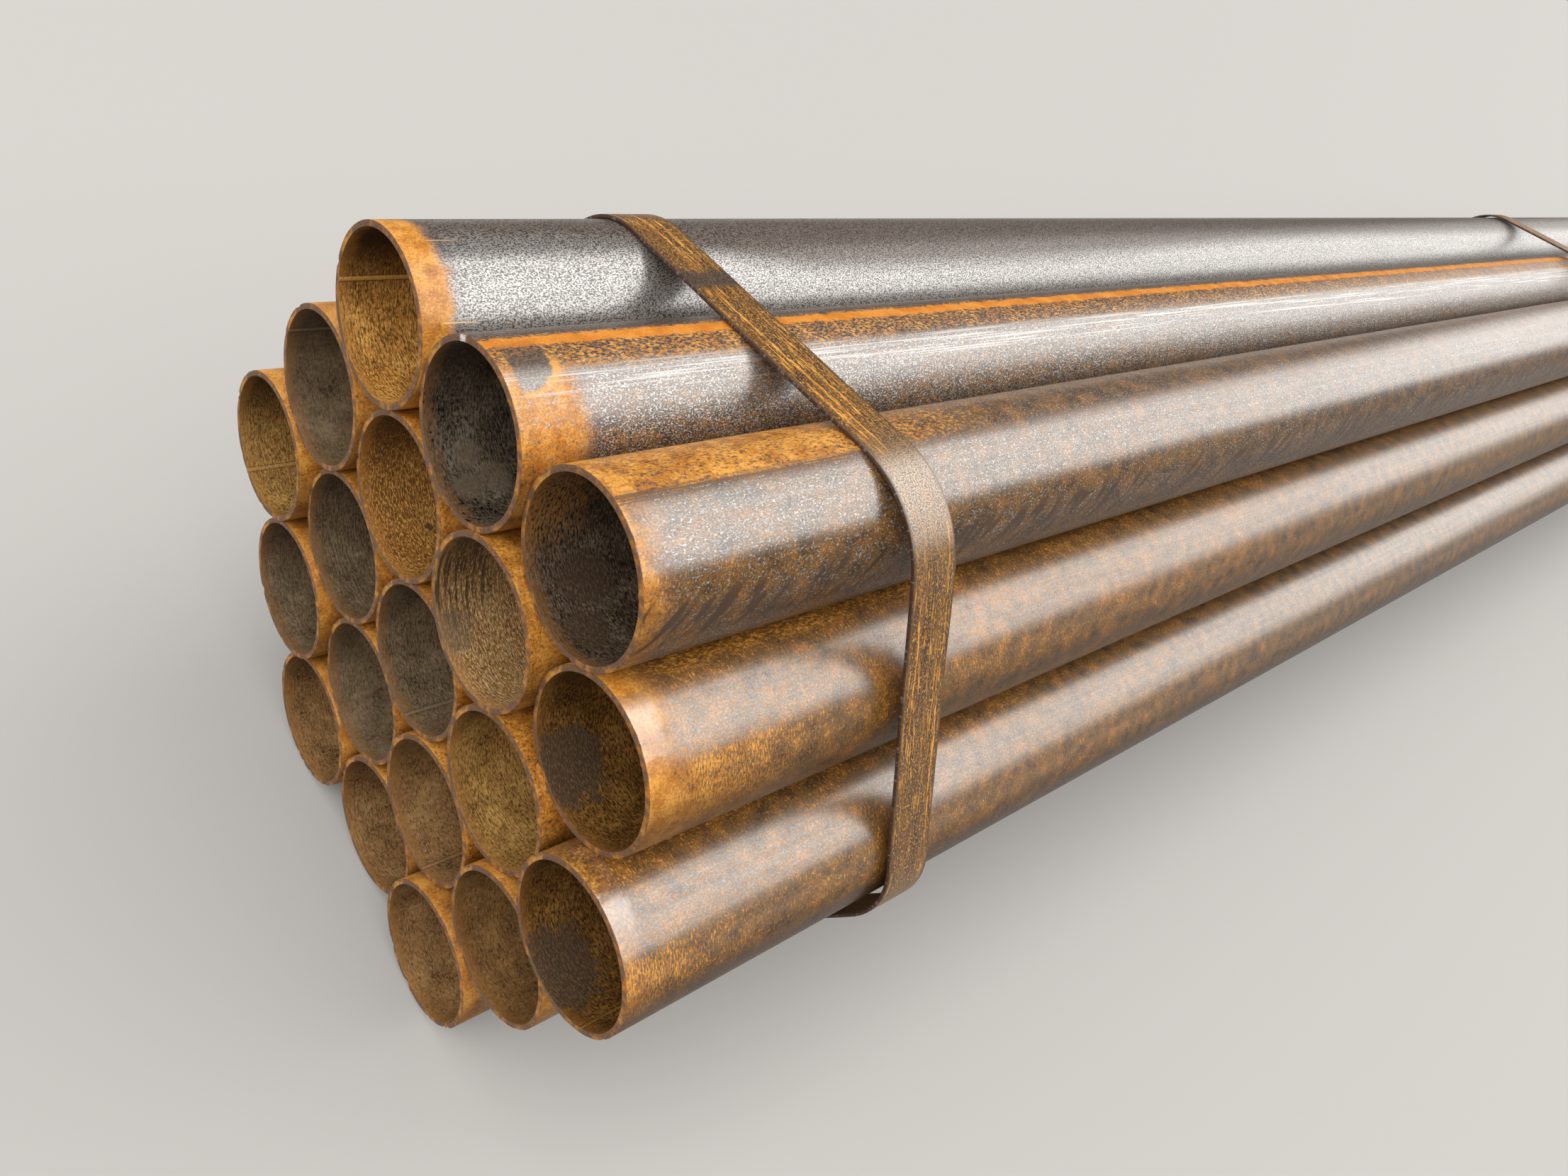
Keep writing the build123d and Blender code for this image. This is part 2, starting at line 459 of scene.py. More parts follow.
class StageSettings(bpy.types.PropertyGroup):
    """Floor, light and camera."""

    floor_colour: FloatVectorProperty(
        name="Floor", description="Colour of the floor", **COLOUR,
        default=(0.50, 0.495, 0.485, 1.0),
    )
    floor_size: FloatProperty(
        name="Floor Size", description="Side of the square floor", unit="LENGTH", default=60.0,
    )
    sky_strength: FloatProperty(
        name="Sky", description="Strength of the even light from all round", default=0.12, min=0.0,
    )
    key_strength: FloatProperty(
        name="Key", description="Strength of the broad bright sky on the -Y side", min=0.0,
        default=1.7,
    )
    front_strength: FloatProperty(
        name="Front", description="Strength of the sky that the mouths face", default=0.9, min=0.0,
    )
    fill_strength: FloatProperty(
        name="Fill", description="Strength of the weaker sky on the +Y side", default=0.6, min=0.0,
    )
    camera_place: FloatVectorProperty(
        name="Camera Place", description="Where the camera stands", subtype="TRANSLATION",
        unit="LENGTH", default=(-3.3289, -0.4532, 0.8818),
    )
    camera_turn: FloatVectorProperty(
        name="Camera Turn", description="Camera's rotation about X, Y and Z", subtype="EULER",
        default=tuple(math.radians(angle) for angle in (48.126, -21.455, -38.892)),
    )
    lens: FloatProperty(
        name="Lens", description="Focal length on a 36 mm sensor", default=27.06, min=1.0,
        unit="CAMERA",
    )


class Sheet:
    """Places nodes in one node tree, wires them up and sets them out from left to right."""

    rows = 5

    def __init__(self, tree):
        self.tree = tree
        self.placed = 0

    def node(self, kind, inputs=None, **settings):
        """Adds a node and feeds its inputs."""
        made = self.tree.nodes.new(kind)
        made.location = (240 * (self.placed // self.rows), -300 * (self.placed % self.rows))
        self.placed += 1
        for name, value in settings.items():
            setattr(made, name, value)
        self.fill(made, inputs or {})
        return made

    def fill(self, node, inputs):
        """Feeds a node's inputs, each linked if it is given a socket, and set if it is a value."""
        for key, value in inputs.items():
            if isinstance(value, bpy.types.NodeSocket):
                self.tree.links.new(value, node.inputs[key])
            else:
                node.inputs[key].default_value = value

    def math(self, operation, *values, **settings):
        """One sum of up to three values."""
        inputs = dict(enumerate(values))
        return self.node("ShaderNodeMath", inputs, operation=operation, **settings).outputs[0]

    def times(self, first, *others):
        """The product of some values."""
        for other in others:
            first = self.math("MULTIPLY", first, other)
        return first

    def most(self, first, *others):
        """The largest of some values."""
        for other in others:
            first = self.math("MAXIMUM", first, other)
        return first

    def plus(self, first, second):
        """The sum of two values."""
        return self.math("ADD", first, second)

    def minus(self, first, second):
        """The difference of two values."""
        return self.math("SUBTRACT", first, second)

    def over(self, first, second):
        """The quotient of two values."""
        return self.math("DIVIDE", first, second)

    def scaled(self, value, factor, start):
        """A value times a factor, plus a start."""
        return self.math("MULTIPLY_ADD", value, factor, start)

    def rest(self, share):
        """What a share leaves of the whole."""
        return self.minus(1.0, share)

    def unsigned(self, value):
        """A value without its sign."""
        return self.math("ABSOLUTE", value)

    def length(self, ahead, aside):
        """How far away a place is that lies so far ahead and so far aside."""
        return self.math("SQRT", self.scaled(ahead, ahead, self.math("POWER", aside, 2.0)))

    def vector(self, operation, *values):
        """One sum of vectors."""
        inputs = dict(enumerate(values))
        return self.node("ShaderNodeVectorMath", inputs, operation=operation).outputs[0]

    def combine(self, x, y, z):
        """A vector from its three parts."""
        return self.node("ShaderNodeCombineXYZ", {"X": x, "Y": y, "Z": z}).outputs[0]

    def separate(self, vector):
        """The three parts of a vector."""
        return self.node("ShaderNodeSeparateXYZ", {"Vector": vector}).outputs[:]

    def crosswise(self, flat):
        """A flat sheet with its two axes exchanged."""
        ahead, aside, _ = self.separate(flat)
        return self.combine(aside, ahead, 0.0)

    def rise(self, value, start, end, low=0.0, high=1.0):
        """Goes smoothly from low to high as value goes from start to end."""
        limits = {"Value": value, "From Min": start, "From Max": end, "To Min": low, "To Max": high}
        made = self.node("ShaderNodeMapRange", limits, interpolation_type="SMOOTHSTEP")
        return made.outputs[0]

    def fall(self, value, start, end):
        """Goes smoothly from 1 to 0 as value goes from start to end."""
        return self.rise(value, start, end, 1.0, 0.0)

    def hump(self, value, foot, top, edge, end):
        """Rises from foot to top and falls from edge to end."""
        return self.times(self.rise(value, foot, top), self.fall(value, edge, end))

    def blend(self, share, first, second):
        """A colour between two colours."""
        made = self.node("ShaderNodeMix", {0: share, 6: first, 7: second}, data_type="RGBA")
        return made.outputs[2]

    def paint(self, colour, *layers):
        """Paints layers over a colour, each with its mask, its strength and its own colour."""
        for mask, strength, tone in layers:
            share = mask if strength == 1.0 else self.times(mask, strength)
            colour = self.blend(share, colour, tone)
        return colour

    def between(self, share, first, second):
        """A value between two values."""
        return self.node("ShaderNodeMix", {0: share, 2: first, 3: second}).outputs[0]

    def noise(self, vector, scale=1.0, detail=2.0, roughness=0.5):
        """Fractal noise, from 0 to 1 about a mean of a half."""
        inputs = {"Vector": vector, "Scale": scale, "Detail": detail, "Roughness": roughness}
        return self.node("ShaderNodeTexNoise", inputs).outputs[0]

    def effect(self, name, **values):
        """Places a shared effect. Its inputs are given in lower case, with _ for a space."""
        inputs = {key.replace("_", " ").title(): value for key, value in values.items()}
        made = self.node("ShaderNodeGroup", inputs, node_tree=bpy.data.node_groups[name])
        return made.outputs

    def grains(self, vector, size, **values):
        """The mask of grains of one size."""
        return self.effect("Grains", vector=vector, size=size, **values)["Mask"]

    def clouds(self, vector, size, stretch, **values):
        """The plain noise behind stretched grains."""
        return self.effect("Grains", vector=vector, size=size, stretch=stretch, **values)["Noise"]

    def band(self, position, start, end, softness, raggedness, vector, size):
        """The mask of a band with ragged borders, empty if it ends where it starts."""
        return self.effect(
            "Ragged Band", position=position, start=start, end=end, softness=softness,
            raggedness=raggedness, vector=vector, size=size,
        )["Mask"]

    def rust(self, vector, size, tones, **values):
        """Rust that wanders between a dark, a middle and a bright tone."""
        dark, middle, bright = tones
        return self.effect(
            "Rust Tone", vector=vector, size=size, dark=dark, middle=middle, bright=bright, **values
        )["Colour"]

    def from_end(self, along):
        """How far a place along a pipe is from the nearer end."""
        return self.math("MINIMUM", along, self.minus(PIPE_LENGTH, along))

    def turn(self, clock, from_clock):
        """The shorter way round from one clock angle to another."""
        return self.math("WRAP", self.minus(clock, from_clock), 180.0, -180.0)


SOCKETS = {float: "NodeSocketFloat", 3: "NodeSocketVector", 4: "NodeSocketColor"}
ORIGIN = (0.0, 0.0, 0.0)
SEED_STEP = (7.13, 3.71, 5.29)


def start_effect(name, inputs, outputs):
    """Starts a shader node group, and gives its sheet, its input sockets and its output node."""
    tree = bpy.data.node_groups.new(name, "ShaderNodeTree")
    for socket_name, default in inputs.items():
        kind = SOCKETS[float if isinstance(default, float) else len(default)]
        socket = tree.interface.new_socket(socket_name, in_out="INPUT", socket_type=kind)
        socket.default_value = default
    for socket_name, kind in outputs.items():
        tree.interface.new_socket(socket_name, in_out="OUTPUT", socket_type=f"NodeSocket{kind}")
    sheet = Sheet(tree)
    given = sheet.node("NodeGroupInput").outputs
    return sheet, given, sheet.node("NodeGroupOutput")


def pipe_coordinates_effect():
    """Along the pipe, round it by the clock, and as a flat sheet cut open at one clock angle."""
    inputs = {"Seed": 0.0, "Radius": 0.05, "Cut": 180.0}
    outputs = {"Along": "Float", "Clock": "Float", "Grain": "Vector", "Unrolled": "Vector"}
    sheet, given, result = start_effect("Pipe Coordinates", inputs, outputs)
    local = sheet.node("ShaderNodeTexCoord").outputs["Object"]
    along, side, height = sheet.separate(local)
    clock = sheet.math("DEGREES", sheet.math("ARCTAN2", sheet.times(side, -1.0), height))
    from_cut = sheet.math("WRAP", sheet.minus(clock, given["Cut"]), 360.0, 0.0)
    arc = sheet.times(sheet.math("RADIANS", from_cut), given["Radius"])
    shift = sheet.vector("SCALE", SEED_STEP)
    sheet.fill(shift.node, {"Scale": given["Seed"]})
    sheet.fill(result, {
        "Along": along,
        "Clock": clock,
        "Grain": sheet.vector("ADD", local, shift),
        "Unrolled": sheet.vector("ADD", sheet.combine(along, arc, 0.0), shift),
    })


def grains_effect():
    """Grains of a given size and cover, stretched and slanted along the first axis."""
    inputs = {
        "Vector": ORIGIN, "Size": 0.001, "Stretch": 1.0, "Slant": 0.0, "Cover": 0.5,
        "Softness": 0.05, "Detail": 2.0,
    }
    sheet, given, result = start_effect("Grains", inputs, {"Mask": "Float", "Noise": "Float"})
    along, across, depth = sheet.separate(given["Vector"])
    leaning = sheet.scaled(along, given["Slant"], across)
    scaled = sheet.combine(
        sheet.over(along, sheet.times(given["Size"], given["Stretch"])),
        sheet.over(leaning, given["Size"]),
        sheet.over(depth, given["Size"]),
    )
    noise = sheet.noise(scaled, detail=given["Detail"], roughness=0.6)
    level = sheet.scaled(given["Cover"], -0.5, 0.75)
    low, high = sheet.minus(level, given["Softness"]), sheet.plus(level, given["Softness"])
    sheet.fill(result, {"Mask": sheet.rise(noise, low, high), "Noise": noise})


def ragged_band_effect():
    """A band between two positions, its borders softened and broken up."""
    inputs = {
        "Position": 0.0, "Start": 0.0, "End": 1.0, "Softness": 0.1, "Raggedness": 0.1,
        "Vector": ORIGIN, "Size": 0.01,
    }
    sheet, given, result = start_effect("Ragged Band", inputs, {"Mask": "Float"})
    noise = sheet.noise(given["Vector"], sheet.over(1.0, given["Size"]), 4.0, 0.65)
    swing = sheet.times(sheet.minus(noise, 0.5), 3.0)
    place = sheet.scaled(swing, given["Raggedness"], given["Position"])
    softness = given["Softness"]
    masks = [
        sheet.rise(place, sheet.minus(border, softness), sheet.plus(border, softness))
        for border in (given["Start"], given["End"])
    ]
    sheet.fill(result, {"Mask": sheet.math("SUBTRACT", *masks, use_clamp=True)})


def soft_patch_effect():
    """One roundish patch with a ragged, soft border."""
    inputs = {
        "Along": 0.0, "Clock": 0.0, "Centre Along": 0.0, "Centre Clock": 0.0, "Reach": 0.02,
        "Radius": 0.05, "Softness": 0.25, "Vector": ORIGIN,
    }
    sheet, given, result = start_effect("Soft Patch", inputs, {"Mask": "Float"})
    ahead = sheet.minus(given["Along"], given["Centre Along"])
    turn = sheet.turn(given["Clock"], given["Centre Clock"])
    away = sheet.length(ahead, sheet.times(sheet.math("RADIANS", turn), given["Radius"]))
    share = sheet.over(away, sheet.most(given["Reach"], 0.00001))
    noise = sheet.minus(sheet.noise(given["Vector"], 90.0, 4.0, 0.6), 0.5)
    share = sheet.scaled(noise, 1.6, share)
    softness = given["Softness"]
    mask = sheet.fall(share, sheet.rest(softness), sheet.plus(1.0, softness))
    sheet.fill(result, {"Mask": mask})


def rust_tone_effect():
    """Rust that wanders between a dark, a middle and a bright colour at two scales."""
    inputs = {
        "Vector": ORIGIN, "Size": 0.004, "Brightness": 0.5, "Dark": (0.1, 0.04, 0.02, 1.0),
        "Middle": (0.4, 0.15, 0.03, 1.0), "Bright": (0.7, 0.27, 0.05, 1.0),
    }
    sheet, given, result = start_effect("Rust Tone", inputs, {"Colour": "Color"})
    scale = sheet.over(1.0, given["Size"])
    fine = sheet.noise(given["Vector"], scale, 4.0, 0.7)
    broad = sheet.noise(given["Vector"], sheet.times(scale, 0.12), 2.0, 0.5)
    level = sheet.scaled(broad, 0.6, sheet.times(fine, 0.7))
    level = sheet.plus(level, sheet.scaled(given["Brightness"], 0.5, -0.25))
    lower = sheet.blend(sheet.rise(level, 0.46, 0.62), given["Dark"], given["Middle"])
    colour = sheet.blend(sheet.rise(level, 0.62, 0.84), lower, given["Bright"])
    sheet.fill(result, {"Colour": colour})


def pits_effect():
    """Small round pits: a share of the cells of a loose pattern has one."""
    inputs = {"Vector": ORIGIN, "Spacing": 0.01, "Size": 0.3, "Cover": 0.3}
    sheet, given, result = start_effect("Pits", inputs, {"Mask": "Float"})
    scale = sheet.over(1.0, given["Spacing"])
    wobble = sheet.noise(given["Vector"], sheet.times(scale, 4.0))
    cells = sheet.node("ShaderNodeTexVoronoi", {"Vector": given["Vector"], "Scale": scale}).outputs
    away = sheet.scaled(wobble, 0.25, cells["Distance"])
    chance = sheet.separate(cells["Color"])[0]
    size = sheet.times(given["Size"], sheet.scaled(chance, 1.2, 0.5))
    pit = sheet.fall(away, size, sheet.times(size, 1.5))
    chosen = sheet.math("LESS_THAN", chance, given["Cover"])
    sheet.fill(result, {"Mask": sheet.times(pit, chosen)})


def start_material(name):
    """A material with its shader and output, and the sheet that the rest goes on."""
    made = bpy.data.materials.new(name)
    made.use_nodes = True
    made.node_tree.nodes.clear()
    sheet = Sheet(made.node_tree)
    shader = sheet.node("ShaderNodeBsdfPrincipled")
    output = sheet.node("ShaderNodeOutputMaterial", {"Surface": shader.outputs[0]})
    shader.location, output.location = (3000, 0), (3300, 0)
    return made, sheet, shader


def relief(sheet, shader, *heights):
    """Raises the surface by the sum of some heights, each a mask and its height in millimetres."""
    total = 0.0
    for mask, millimetres in heights:
        total = sheet.scaled(mask, millimetres, total)
    bump = sheet.node("ShaderNodeBump", {"Height": total, "Distance": 0.001})
    sheet.fill(shader, {"Normal": bump.outputs["Normal"]})


def wall_rust(sheet, look, place, clouds):
    """Masks of the rust on a wall: flecks all over and bands, and the line on its own."""
    along, clock, grain, unrolled = place
    cover = sheet.plus(sheet.rise(clouds, 0.35, 0.65, -0.04, 0.04), look.flecks)
    cover = sheet.times(cover, sheet.rise(along, 0.25, 1.2, 1.0, 0.5))
    length, from_clock, share = look.spread
    low_side = sheet.rise(clock, from_clock - 12.0, from_clock + 12.0, 0.0, share)
    spread = sheet.times(low_side, sheet.fall(along, 0.0, length + 0.001))
    flecks = sheet.grains(
        sheet.crosswise(unrolled), 0.0010, stretch=4.0, slant=look.slant,
        cover=sheet.plus(cover, spread), softness=0.03, detail=3.0,
    )
    top_cover = sheet.rise(along, 0.12, 0.4, look.top_cover, look.top_cover - look.top_fade)
    breaks = sheet.grains(unrolled, 0.0018, stretch=1.8, cover=top_cover, softness=0.1, detail=5.0)
    top = sheet.band(clock, *look.top, 4.0, 5.0, grain, 0.02)
    line = sheet.band(clock, *look.line, 1.2, 4.0, grain, 0.008)
    ring = sheet.band(
        sheet.from_end(along), -1.0, look.mouth, look.mouth_softness, 0.008, grain, 0.03,
    )
    ring_breaks = sheet.grains(grain, 0.0022, cover=look.mouth_cover, softness=0.15, detail=4.0)
    ring_place = sheet.rise(clock, look.mouth_from - 15.0, look.mouth_from + 10.0)
    ring = sheet.times(ring, ring_place, ring_breaks)
    return sheet.most(flecks, sheet.times(top, breaks), ring, line), line


def bare_patch(sheet, patch, along, clock, grain):
    """Masks of a bare patch by the mouth and of the rust that outlines it."""
    start, length, first, turn = patch
    ahead = sheet.over(sheet.minus(along, start), length)
    below = sheet.most(sheet.over(sheet.minus(clock, first), turn), 0.0)
    away = sheet.scaled(sheet.noise(grain, 260.0, 3.0), 0.3, sheet.length(ahead, below))
    inked = sheet.rise(clock, first - 22.0, first + 4.0)
    bare = sheet.times(sheet.fall(away, 1.0, 1.1), sheet.rise(ahead, 0.0, 0.08), inked, 0.85)
    outline = sheet.hump(away, 1.04, 1.12, 1.16, 1.3)
    return bare, sheet.times(outline, inked, sheet.rise(ahead, 0.0, 0.2))


def scratch_mark(sheet, mark, along, clock, clouds):
    """Mask of a scratch along the pipe that wavers about a clock angle."""
    start, end, middle = mark
    wander = sheet.rise(clouds, 0.3, 0.7, middle - 0.8, middle + 0.8)
    off_line = sheet.unsigned(sheet.minus(clock, wander))
    within = sheet.hump(along, start, start + 0.004, end - 0.004, end)
    return sheet.times(sheet.fall(off_line, 0.25, 0.6), within)


def painted_shade_side(sheet, shade, along, clock):
    """Mask of painted shade: a dull, dark side towards the top, whose border drifts along the pipe.
    """
    start, end, drift = shade
    drifted = sheet.rise(along, 0.1, 0.35, 0.0, drift)
    drifted = sheet.plus(drifted, sheet.rise(along, 0.5, 1.3, 0.0, -0.5 * drift))
    settled = sheet.minus(clock, drifted)
    return sheet.times(sheet.rise(settled, start, end, 0.8, 0.0), sheet.rise(clock, -70.0, -42.0))


def wet_patch(sheet, look, along, clock, grain):
    """Mask of a wet patch at the mouth that thins towards its lower border."""
    start, end = look.wet
    round_pipe = sheet.band(clock, start, end, 0.6, 6.0, grain, 0.012)
    along_pipe = sheet.band(along, -1.0, look.wet_length, 0.006, 0.005, grain, 0.012)
    return sheet.times(round_pipe, along_pipe, sheet.rise(clock, start, end + 0.1, 1.0, 0.45))


def wall_material(name, look, seed, settings):
    """Outside of a pipe: mill scale with bright grains, a brown film, rust bands and flecks."""
    colours = settings.pipe_bundle_colours
    material, sheet, shader = start_material(name)
    radius = settings.pipe_bundle_pipes.diameter / 2
    place = sheet.effect("Pipe Coordinates", seed=seed, radius=radius)[:]
    along, clock, grain, unrolled = place
    from_top = sheet.unsigned(clock)
    clouds = sheet.clouds(grain, 0.022, 4.0)

    # Mill scale, and a brown film that is thicker in clouds
    bright = sheet.grains(grain, 0.00095, stretch=1.4, cover=look.bright_grains, softness=0.08)
    cover = sheet.plus(sheet.rise(clouds, 0.3, 0.7, -0.05, 0.05), look.film)
    film = sheet.grains(grain, 0.0015, stretch=1.6, cover=cover, softness=0.08)
    film_tones = (FILM_DARK, colours.film, colours.rust_middle)
    gold = sheet.rise(along, 0.3, 1.0, look.gold, look.gold - 0.08)
    specks = sheet.grains(grain, 0.0009, stretch=1.3, cover=0.42, softness=0.05)
    film_tone = sheet.paint(
        sheet.rust(grain, 0.0016, film_tones, brightness=gold), (specks, 0.6, FILM_SPECK),
    )

    # Rust, purplish where its ring round the mouth ends, and lines that the rolls left
    rust, line = wall_rust(sheet, look, place, clouds)
    rust_tone = sheet.paint(
        sheet.rust(grain, 0.0016, colours.rust(), brightness=0.62), (line, 0.5, LINE_RUST),
    )
    tint = sheet.band(
        sheet.from_end(along), look.mouth, look.mouth + 0.008, 0.006, 0.006, grain, 0.03,
    )
    rolled = sheet.band(clock, *look.rolled, 1.5, 1.0, grain, 0.05)
    roll_lines = sheet.grains(unrolled, 0.0011, stretch=60.0, cover=0.5, softness=0.05, detail=1.0)
    polish_lines = sheet.grains(
        unrolled, 0.0016, stretch=90.0, cover=0.34, softness=0.08, detail=1.0,
    )
    polished = sheet.band(clock, *look.polished, 3.0, 2.0, grain, 0.1)
    polished = sheet.times(polished, polish_lines, 0.8)
    colour = sheet.paint(
        sheet.blend(bright, colours.scale_dark, colours.scale_bright),
        (film, 1.0, film_tone),
        (tint, 0.45, colours.heat_tint),
        (rust, 1.0, rust_tone),
        (sheet.times(rolled, roll_lines), 0.75, colours.rust_dark),
        (polished, 1.0, colours.scale_bright),
    )
    rust = sheet.times(rust, sheet.rest(polished))
    film = sheet.times(film, sheet.rest(polished))

    # A bare patch, scratches, slanting stripes low on the side, and painted shade on a dull side
    # towards the top and on the low side
    if look.bare:
        bare, outline = bare_patch(sheet, look.bare, along, clock, grain)
        rust = sheet.times(rust, sheet.rest(bare))
        colour = sheet.paint(
            colour, (bare, 1.0, sheet.blend(bright, BARE_DARK, BARE_BRIGHT)),
            (outline, 0.8, colours.rust_bright),
        )
    for mark in look.scratches:
        scratch = scratch_mark(sheet, mark, along, clock, clouds)
        colour = sheet.paint(colour, (scratch, 1.0, SCRATCH))
    stripes = sheet.grains(
        sheet.crosswise(unrolled), 0.0095, stretch=3.0, slant=0.75, cover=0.4, softness=0.06,
        detail=1.0,
    )
    stripes = sheet.times(stripes, sheet.hump(clock, 58.0, 72.0, 94.0, 104.0))
    colour = sheet.paint(colour, (stripes, look.stripes, STRIPE))
    # Painted shade: the side towards the top gets a darker colour, less metal and less gloss
    shaded = 0.0
    if look.shade:
        shaded = sheet.times(painted_shade_side(sheet, look.shade, along, clock), sheet.rest(rust))
        colour = sheet.paint(colour, (shaded, 1.0, sheet.blend(bright, PAINTED_SHADE_DARK, PAINTED_SHADE_BRIGHT)))
    # Painted shade: darker towards the low side
    painted_low_shade = sheet.rise(from_top, 52.0, 92.0, 0.0, look.painted_low_shade)
    colour = sheet.paint(colour, (painted_low_shade, 1.0, PAINTED_LOW_SHADE))

    # A strong clear layer gives the broad sheen of the scale, and the rust stays dull
    clean = sheet.times(sheet.rest(rust), sheet.between(film, 1.0, 0.3), sheet.rest(shaded))
    bright = sheet.most(bright, polished)
    metal = sheet.times(sheet.between(bright, 0.0, look.shine), clean)
    runs = sheet.clouds(unrolled, 0.0035, 60.0)
    matt = sheet.times(film, sheet.rise(along, 0.4, 1.4, look.matt, 0.0))
    gloss = sheet.times(
        sheet.plus(look.gloss, sheet.rise(runs, 0.35, 0.65, -0.07, 0.07)),
        sheet.rise(from_top, *look.dull, 1.0, 0.04),
        sheet.between(rust, 1.0, 0.25),
        sheet.between(line, 1.0, 0.3),
        sheet.rise(along, 0.2, 1.4, look.near_gloss, 1.0),
        sheet.rest(matt),
        sheet.scaled(shaded, -0.95, 1.0),
        sheet.between(bright, 1.0 - look.sparkle, 1.0),
    )
    wet = wet_patch(sheet, look, along, clock, grain)
    sheet.fill(shader, {
        "Base Color": colour,
        "Metallic": metal,
        "Roughness": sheet.between(rust, sheet.between(bright, 0.46, 0.30), 0.6),
        "Coat Weight": sheet.most(gloss, wet),
        "Coat Roughness": look.sheen,
        "Coat IOR": 4.6,
        **DULL_BASE,
    })
    waves = sheet.clouds(grain, 0.02, 6.0, softness=0.5)
    relief(sheet, shader, (bright, 0.02), (rust, 0.03), (waves, 0.25))
    return material


def bore_material(name, look, seed, settings):
    """Inside of a pipe: rust with dark flecks, streaks round the bore, stains and a seam."""
    material, sheet, shader = start_material(name)
    sizes = settings.pipe_bundle_pipes
    radius = sizes.diameter / 2 - sizes.wall
    place = sheet.effect("Pipe Coordinates", seed=seed, radius=radius, cut=look.seam)
    along, clock, grain, unrolled = place[:]
    around = sheet.crosswise(unrolled)
    dark, middle, bright = tones = [(*tone, 1.0) for tone in BORE_TONES[look.tone]]

    def patches(places, softness):
        """The mask of some soft patches."""
        masks = [
            sheet.effect(
                "Soft Patch", along=along, clock=clock, centre_along=centre_along, reach=reach,
                centre_clock=centre_clock, radius=radius, vector=grain, softness=softness,
            )["Mask"]
            for centre_along, centre_clock, reach in places
        ]
        return sheet.most(0.0, *masks)

    streaks = sheet.grains(
        around, 0.0013, stretch=9.0, cover=look.streaks, softness=0.06, detail=3.0,
    )
    flecks = sheet.grains(around, 0.0012, stretch=3.2, cover=look.flecks, softness=0.04)
    specks = sheet.grains(around, 0.0009, stretch=3.4, cover=0.38, softness=0.05)
    # Painted shade: the upper inside darker
    painted_crown_shade = sheet.rise(sheet.unsigned(clock), 60.0, 135.0, look.painted_crown_shade, 0.0)
    lip = sheet.band(sheet.from_end(along), -1.0, 0.006, 0.005, 0.006, grain, 0.01)
    drops = sheet.grains(around, 0.0022, stretch=16.0, cover=0.46, softness=0.03, detail=3.0)
    pits = sheet.effect("Pits", vector=grain, spacing=0.0032, size=0.3, cover=0.8)["Mask"]
    pits = sheet.times(pits, patches(look.pits, 0.35))
    off_seam = sheet.unsigned(sheet.turn(clock, look.seam))
    seam = sheet.fall(off_seam, 1.0, 2.2)
    # A band each side of the seam painted dark as the shadow of its ridge
    seam_shadow = sheet.hump(off_seam, 1.2, 1.9, 1.9, 3.0)
    colour = sheet.paint(
        sheet.rust(grain, 0.0028, tones, brightness=0.5),
        (streaks, 0.7, dark),
        (flecks, 0.85, dark),
        (specks, 0.55, bright),
        (painted_crown_shade, 1.0, PAINTED_CROWN_SHADE),
        (lip, 0.55, sheet.blend(0.6, middle, LIP)),
        (sheet.times(patches(look.ochre, 0.5), sheet.rest(flecks)), 0.85, OCHRE),
        (sheet.times(drops, patches(look.drips, 0.4)), 0.85, DRIP),
        (patches(look.stains, 0.18), 0.85, sheet.blend(specks, STAIN_DARK, STAIN_BRIGHT)),
        (patches(look.dust, 0.3), 0.55, DUST),
        (pits, 0.92, PIT),
        (seam, 0.4, bright),
        (seam_shadow, 0.6, dark),
    )
    sheet.fill(shader, {
        "Base Color": colour,
        "Roughness": sheet.between(flecks, 0.62, 0.5),
        "IOR": 1.5,
        "Specular IOR Level": 0.25,
    })
    ripples = sheet.grains(grain, 0.0016, stretch=0.5, cover=0.5, softness=0.2)
    relief(
        sheet, shader, (flecks, -0.06), (streaks, -0.04), (pits, -0.15),
        (sheet.times(ripples, seam), 0.15),
    )
    return material


def cut_material(name, settings, nick=None):
    """Sawn pipe end: dark brown with saw marks, runs of orange rust and perhaps a bright nick."""
    colours = settings.pipe_bundle_colours
    material, sheet, shader = start_material(name)
    place = sheet.effect("Pipe Coordinates")
    local = place["Grain"]
    marks = sheet.grains(local, 0.0016, cover=0.4, softness=0.1)
    spots = sheet.grains(local, 0.014, cover=0.4, softness=0.08, detail=4.0)
    rust = sheet.rust(local, 0.004, colours.rust())
    colour = sheet.paint(colours.rim, (marks, 0.5, SAW_MARK), (spots, 0.6, rust))
    if nick is not None:
        off_nick = sheet.unsigned(sheet.minus(place["Clock"], nick))
        bare = sheet.times(sheet.fall(off_nick, 1.5, 4.5), sheet.rise(marks, 0.0, 0.5, 0.5, 1.0))
        colour = sheet.paint(colour, (bare, 1.0, NICK))
    roughness = sheet.between(marks, 0.5, 0.62)
    sheet.fill(shader, {"Base Color": colour, "Roughness": roughness, **DULL_BASE})
    relief(sheet, shader, (marks, 0.05), (spots, 0.05))
    return material


